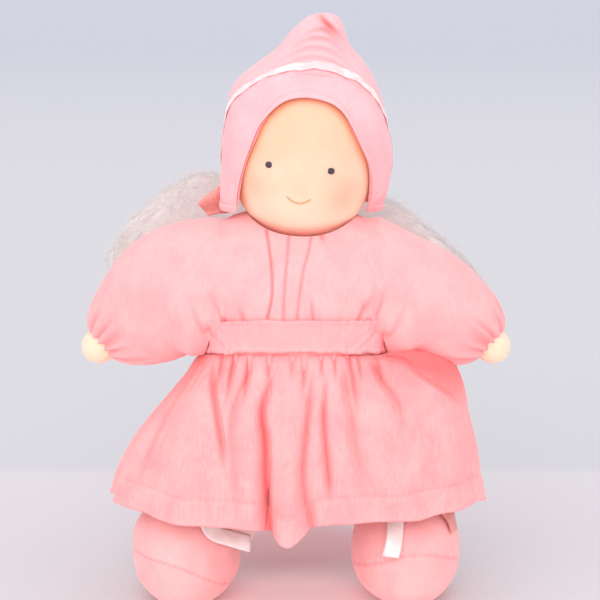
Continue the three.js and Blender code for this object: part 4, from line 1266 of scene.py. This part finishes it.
def band_place(u, v):
    angle = 2 * math.pi * u
    c, s = math.cos(angle), math.sin(angle)
    across = v - 0.5
    edge_wave = 1.3 * noise_round(angle, 4, across * 3) + 0.5 * noise_round(angle, 11, across * 3)
    up = across * (band_height - 1) + edge_wave
    rolled = 0.9 * hump(abs(across) - 0.42, 0.07)
    x = torso_at(angle, waist_height).x
    slack = 0.9 * noise_round(angle, 6, up * 0.09) + 0.4 * noise_round(angle, 17, up * 0.12)
    creases = 0.0
    if s < 0:
        for at, slant, depth in band_creases:
            creases -= depth * hump(x - at - slant * up, 1.6) * step(13, 3, abs(up))
    pressed = -1.3 * step(44, 54, abs(x)) * step(0.3, 0.9, abs(c) + 0.15)
    ruffle = 0.4 * math.sin(58 * angle + 3 * edge_wave) * hump(abs(across) - 0.5, 0.1)
    return band_at(angle, up, band_thickness + rolled + slack + creases + ruffle + pressed) * mm


def band_seams_and_pucker_shade(u, v):
    """How dark each place of the waistband is: dark along both seams, and painted shade in the puckers."""
    seams = 0.65 * step(0.455, 0.5, abs(v - 0.5))
    puckers = step(0.1, 0.5, noise_round(2 * math.pi * u, 26, v))
    return seams + 0.4 * puckers * step(0.36, 0.46, abs(v - 0.5)) * (1 - seams)


belt = bmesh.new()
lay_grid(belt, 360, 26, band_place)
fold = belt.verts.layers.float.new("fold")
share = belt.verts.layers.float_vector["share"]
for vert in belt.verts:
    # Dark seams, and painted shade in the puckers.
    vert[fold] = band_seams_and_pucker_shade(vert[share].x, vert[share].y)
close_up(belt)
turn_outwards(belt, Vector((0, 0, waist_height)) * mm)
waistband = cloth_object("waistband_strip", belt, ribbed_pink)
with_modifiers(
    waistband,
    ("SOLIDIFY", {"thickness": 1.8 * mm, "offset": -1.0}),
    ("BEVEL", {"width": 0.8 * mm, "segments": 3, "limit_method": "ANGLE", "angle_limit": math.radians(50)}),
)
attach(waistband, "torso")
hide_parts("waistband")


# Skirt: one strip of velour gathered into the waistband, cut with its ribs upright and hemmed with a line of
# stitches 15 mm above the edge. It stands out over the hips, with a deep fold and a pleat in front.
skirt_length = 91
skirt_half_width = 113
skirt_half_depth = 58
hem_depth = 15
pleat_drop = 11
waist_share = 0.392
waist_half_width = chest_half_width * through(torso_widths, waist_share) + 0.3 + band_thickness
waist_half_depth = chest_half_depth * through(torso_depths, waist_share) + 0.3 + band_thickness
band_foot = waist_height - band_height / 2 - 0.4
spread_right = [(0, 0), (0.06, 0.08), (0.15, 0.20), (0.4, 0.52), (0.75, 0.88), (1, 1.0)]
spread_left = [(0, 0), (0.015, 0.28), (0.04, 0.52), (0.08, 0.69), (0.2, 0.80), (0.5, 0.88),
               (0.75, 0.95), (1, 1.01)]
front_split = math.radians(-99)
# Each fold in front: its line as (t, x) knots, half width, height, where it begins and ends, and its painted
# shade.
front_folds = [
    (((0, -8.5), (0.12, -13), (0.32, -20), (0.5, -18.4), (0.75, -17.6), (1, -15.5)),
     3.6, -9.0, (0.0, 0.5), (1.1, 1.2), 0.95),
    (((0, 2), (0.3, -4), (0.7, -4), (1, -4.5)), 9.5, 8.0, (0.05, 0.9), (1.1, 1.2), 0.0),
    (((0, 10.7), (0.2, 9), (0.4, 6.6), (0.7, 4), (1, 9.5)), 3.2, -4.6, (0.0, 0.4), (1.1, 1.2), 0.6),
    (((0, 19.5), (0.25, 17), (0.45, 16.8), (0.8, 20)), 3.0, -4.4, (0.05, 0.42), (0.72, 0.92), 0.85),
    (((0, 26.3), (0.3, 31.5), (0.6, 36), (1, 47)), 5.0, -3.4, (0.0, 0.2), (0.5, 1.0), 0.4),
    (((0, 42), (0.15, 50), (0.3, 60), (0.6, 66)), 5.0, -3.2, (0.0, 0.12), (0.25, 0.6), 0.45),
    (((0, -50), (0.2, -49.5), (0.45, -45.5), (0.65, -42)), 3.2, -5.0, (0.03, 0.2), (0.5, 0.75), 0.8),
    (((0, -20.5), (0.2, -32), (0.4, -38), (0.7, -37), (1, -34)), 4.0, -3.0, (0.0, 0.3), (0.7, 1.0), 0.3),
    (((0, -27), (0.3, -27), (1, -27)), 8.0, 4.0, (0.1, 0.8), (1.1, 1.2), 0.0),
    (((0, -44), (0.25, -60), (1, -68)), 12.0, 6.0, (0.05, 0.6), (1.1, 1.3), 0.0),
    (((0, 40), (0.35, 46), (0.7, 50), (1, 70)), 11.0, 4.5, (0.1, 0.8), (1.1, 1.3), 0.0),
    (((0, -53), (0.2, -66), (0.45, -80), (0.75, -92), (1, -98)), 5.5, -4.5, (0.0, 0.15), (0.6, 0.95), 0.35),
    (((0, 53), (0.1, 69), (0.25, 91), (0.4, 104)), 5.0, -3.6, (-0.02, 0.02), (0.25, 0.42), 0.4),
]
left_side_fold, right_side_fold = front_folds[-2][0], front_folds[-1][0]
# The small gathers below the band: each one's place, how far it goes aside, its length and its depth.
small_gathers = ((-36.2, -7, 0.3, 2.0), (-27.3, -5, 0.3, 2.1), (-15.5, -2, 0.2, 1.7), (-2, 0, 0.14, 1.4),
                 (5, -1, 0.24, 2.4), (15, 0, 0.14, 1.4), (22.5, 2, 0.16, 1.8), (31, 6, 0.36, 2.0),
                 (36, 6, 0.16, 1.5), (47, 9, 0.2, 1.8), (-43.5, -6, 0.18, 1.6))
for x, aside, length, depth in small_gathers:
    ends = (length * 0.4, length * 1.2)
    front_folds.append((((0, x), (0.4, x + aside)), 1.7, -1.3 * depth, (-0.02, 0.02), ends, 0.8))


@functools.lru_cache(maxsize=4)
def folds_across(t):
    """The front folds that there are at a height, each with its place, half width, height and painted shade.
    """
    there = []
    for line, width, height, begins, ends, shade in front_folds:
        much = step(*begins, t) * step(ends[1], ends[0], t)
        if much > 0:
            wide = width * (0.45 + 0.55 * t) if width > 2 else width * (1 + 1.5 * t)
            there.append((through(line, t), wide, 1.15 * much * height, much * shade))
    return there


def skirt_at(angle, t):
    """A point of the skirt's outer side, from the band at t 0 to the hem at t 1."""
    c, s = math.cos(angle), math.sin(angle)
    fuller = step(0.2, 0.9, c)
    spread = through(spread_right, t) * (1 - fuller) + through(spread_left, t) * fuller
    front_spread = spread + 0.05 * math.sin(math.pi * t) * max(-s, 0)
    power = torso_power + (2 - torso_power) * min(spread * 1.4, 1)
    half_width = waist_half_width + (skirt_half_width - waist_half_width) * spread
    half_depth = waist_half_depth + (skirt_half_depth - waist_half_depth) * front_spread
    x, y = rounded(angle, half_width, half_depth, power)
    out = Vector((c / half_width, s / half_depth, 0)).normalized()
    in_front = step(0.05, -0.35, s)
    relief = 0.0
    for at, wide, tall, _ in folds_across(t):
        relief += in_front * tall * hump(x - at, wide)
    wander = 1.7 * noise_round(angle, 1.7, 4)
    folds = 4.2 * math.cos(13 * angle + 2.4 * wander) + 1.6 * math.cos(23 * angle + 5 * wander)
    relief += folds * step(0.0, 0.85, t) * (1 - 0.8 * in_front)
    fine = math.cos(46 * angle + 6 * wander) + 0.6 * math.cos(71 * angle + 3)
    relief += 0.75 * fine * step(0.34, 0.0, t) * step(-0.01, 0.03, t) * (1 - 0.55 * in_front)
    relief += 0.9 * noise.noise(Vector((x, y, t * 90)) * 0.045) * step(0.1, 0.4, t)
    pleat = hump(x + 5, 12) * in_front
    drop = pleat_drop * pleat + 3.0 * hump(x + 50, 30) * in_front
    top = band_foot - y * band_tilt
    hem = band_foot - skirt_length + 1.5 * c * c - drop
    height = top + (hem - top) * t + (5 * step(53, 66, x) + 3 * step(-53, -64, x)) * step(0.16, 0.01, t)
    from_hem = (1 - t) * (top - hem)
    stitch = -0.75 * hump(from_hem - hem_depth, 0.8) + 0.5 * step(hem_depth + 1, hem_depth - 1, from_hem)
    roll = 0.5 * hump(from_hem - 1.0, 1.2)
    spot = Vector((x, y + 0.2 * (1 - spread) * through(torso_leans, waist_share), height))
    return spot + out * (relief + stitch + roll)


def skirt_shade_and_stitches(angle, spot, t):
    """Painted shade on the skirt, in and beside its folds, under the sleeves and just below the band, with the
    dark dashes of the hem's stitches.
    """
    x = spot.x
    in_front = step(0.05, -0.35, math.sin(angle))
    shade = sum(dark * 1.15 * hump(x - at, 0.5 * wide) for at, wide, _, dark in folds_across(t)) * in_front
    beside_shade = step(-2, 6, through(left_side_fold, t) - x) * step(0.55, 0.15, t)
    beside_shade += 1.5 * step(0, 6, x - through(right_side_fold, t)) * step(0.4, 0.15, t)
    beside_shade += (0.9 if x > 0 else 0.65) * step(0.36, 0.05, t) * step(20, 45, abs(x)) * in_front
    beside_shade += 1.2 * step(0.12, 0.02, t) * step(50, 58, abs(x))
    under_sleeve_shadow = hump(spot.z - 162 + 0.33 * (x - 57), 3) * step(48, 56, x) * step(94, 80, x) * in_front
    from_hem = (1 - t) * skirt_length
    stitches = 0.32 * hump(from_hem - hem_depth, 0.6) * step(-0.3, 0.3, math.sin(angle * 160))
    return min(shade + 0.4 * beside_shade + 0.8 * under_sleeve_shadow + stitches + 0.3 * step(0.05, 0.0, t), 1.0)


skirt_pink = velour("pink_velour_of_the_skirt", (0.93, 0.405, 0.395, 1), (0.87, 0.30, 0.31, 1), ribs=0.4)
skirt_rows = 88
back_split = math.radians(90)
halves = (("left", 1, front_split, back_split), ("right", -1, back_split, front_split + 2 * math.pi))
for name, side, first, last in halves:
    gathered = bmesh.new()
    lay_grid(gathered, 240, skirt_rows, lambda u, v: skirt_at(first + (last - first) * u, 1 - v) * mm)
    fold = gathered.verts.layers.float.new("fold")
    share = gathered.verts.layers.float_vector["share"]
    for vert in gathered.verts:
        u, v, _ = vert[share]
        # Painted shade in the folds and under the sleeves, with the hem's stitches.
        vert[fold] = skirt_shade_and_stitches(first + (last - first) * u, vert.co / mm, 1 - v)
    close_up(gathered, 0.01 * mm)
    turn_outwards(gathered, Vector((0, 0, 120)) * mm, len(gathered.faces) // 2)
    skirt = cloth_object(f"skirt_half_{name}", gathered, skirt_pink)
    with_modifiers(skirt, ("SOLIDIFY", {"thickness": 1.3 * mm, "offset": -1.0}))
    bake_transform(skirt, "torso", f"leg_{name}", start=(0, 0, 0.16), end=(0, 0, 0.06))
    lift = skirt.data.attributes["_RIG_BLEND"]
    for vert in skirt.data.vertices:
        x, y, z = vert.co / mm
        aside = step(5, 45, side * x)
        lift.data[vert.index].value = aside * step(152, 95, z) * step(32, -25, y)
    if side > 0:
        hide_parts("skirt")


# Wings: two flat tufts of combed fleece, bound together with thread and sewn to the middle of the back. They
# are thin and airy, with loose curly fibres all round their edge.
def fleece():
    # The fleece glows: its emission is painted light, for the light that the wool scatters inside.
    material, tree, shader = new_material(
        "combed_fleece", Roughness=0.95, Specular_IOR_Level=0.1, Sheen_Weight=0.5, Sheen_Roughness=0.5,
        Emission_Color=(1, 0.915, 0.905, 1), Emission_Strength=0.34,
    )
    place = add_node(tree, "TexCoord").outputs["Object"]
    combed = add_node(tree, "Mapping", {"Vector": place, "Scale": (0.3, 1.0, 1.0)}).outputs[0]
    fibres = speckle(tree, combed, 700, 4, 1.5)
    tone = between(tree, span(tree, fibres, 0.35, 0.65), (0.38, 0.34, 0.33, 1), (0.44, 0.395, 0.39, 1))
    tree.links.new(tone, shader["Base Color"])
    raise_relief(tree, shader, fibres, 0.4, 0.6)
    return material


wool = fleece()
wing_span = 120
wing_height = 205
wing_behind = 56.2
wing_rows = ((0, 0.18, 0.8, 0, 0), (0.1, 0.34, 0.85, 0.1, 0), (0.25, 0.62, 0.95, 0.5, 0),
             (0.38, 0.94, 1, 0.85, 0.1), (0.5, 1, 1, 1, 0.5), (0.65, 0.9, 0.95, 0.8, 0.9),
             (0.8, 0.68, 0.8, 0.45, 1), (0.92, 0.42, 0.6, 0.1, 1), (1, 0.12, 0.2, -0.1, 1))
wing_heights, wing_thicks, wing_rises, wing_forwards = [
    [(row[0], row[n]) for row in wing_rows] for n in range(1, 5)
]
left_wing_rises = [(0, 0), (0.25, 0.3), (0.43, 0.1), (0.6, -0.4), (0.7, -0.75), (0.92, -1.2), (1, -1.35)]


def wing_at(side, angle, share, off=0.0):
    """A point of a wing's plain form, from its root at share 0 to its tip at 1."""
    across = side * (0.4 + (wing_span - 0.4) * share)
    back, up = rounded(angle, 7 * through(wing_thicks, share) + off, 41 * through(wing_heights, share) + off)
    middle_back = wing_behind - 13 * through(wing_forwards, share)
    rise = through(left_wing_rises if side > 0 else wing_rises, share)
    return Vector((across, middle_back + back, wing_height + 16 * rise + up))


random.seed(7)
strands = 2200
for side, name in ((1, "left"), (-1, "right")):
    tuft = bmesh.new()

    def tuft_place(u, v, side=side):
        share = min(max(1.08 * v - 0.04, 0), 0.97)
        closing = step(0, 0.04, v) * step(1, 0.94, v)
        spot = wing_at(side, 2 * math.pi * u, share, -4.5)
        middle = wing_at(side, 0, share).lerp(wing_at(side, math.pi, share), 0.5)
        cloud = 3.2 * noise.noise(spot * 0.06) + 1.6 * noise.noise(spot * 0.17) + 0.8 * noise.noise(spot * 0.4)
        return (middle.lerp(spot, closing) + (spot - middle).normalized() * cloud * closing) * mm

    lay_grid(tuft, 72, 84, tuft_place)
    close_up(tuft)
    for _ in range(strands):
        share = random.uniform(0.06, 0.9)
        angle = random.uniform(0, 2 * math.pi)
        length = random.uniform(0.05, 0.17)
        lift = random.uniform(0.5, 1.0)
        route = []
        swirl = Vector((random.gauss(0, 1), random.gauss(0, 0.7), random.gauss(0, 1))) * 3.0
        for k in range(5):
            along = min(share + length * k / 4, 1.0)
            away = -5 + (6.5 * k / 4 + random.gauss(0, 0.5)) * lift
            curl = swirl * math.sin(k * 1.3) * (k / 4)
            route.append((wing_at(side, angle + 0.08 * k * random.uniform(-1, 1), along, away) + curl) * mm)
        thread_along(tuft, route, random.uniform(0.06, 0.12) * mm, sides=3, rows=5)
    bmesh.ops.remove_doubles(tuft, verts=tuft.verts[:], dist=stitch_gap * mm)
    wing = as_object(f"fleece_wing_{name}", tuft, wool)
    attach(wing, "torso")
    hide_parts(f"wing_{name}")

thread_cotton = floss("binding_thread", (0.62, 0.52, 0.44, 1), (0.72, 0.62, 0.54, 1))
binding = bmesh.new()
turns = 5
binding_radius = 8.2
route = []
for k in range(turns * 24 + 1):
    angle = 2 * math.pi * k / 24
    aside = (k / (turns * 24) - 0.5) * 4.6
    back, up = binding_radius * math.sin(angle), binding_radius * math.cos(angle)
    route.append(Vector((aside, wing_behind + back, wing_height + up)) * mm)
thread_along(binding, route, 0.5 * mm, sides=8, rows=turns * 48)
close_up(binding, stitch_gap * mm)
tie = as_object("wing_binding", binding, thread_cotton)
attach(tie, "torso")
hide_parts("wing_tie")
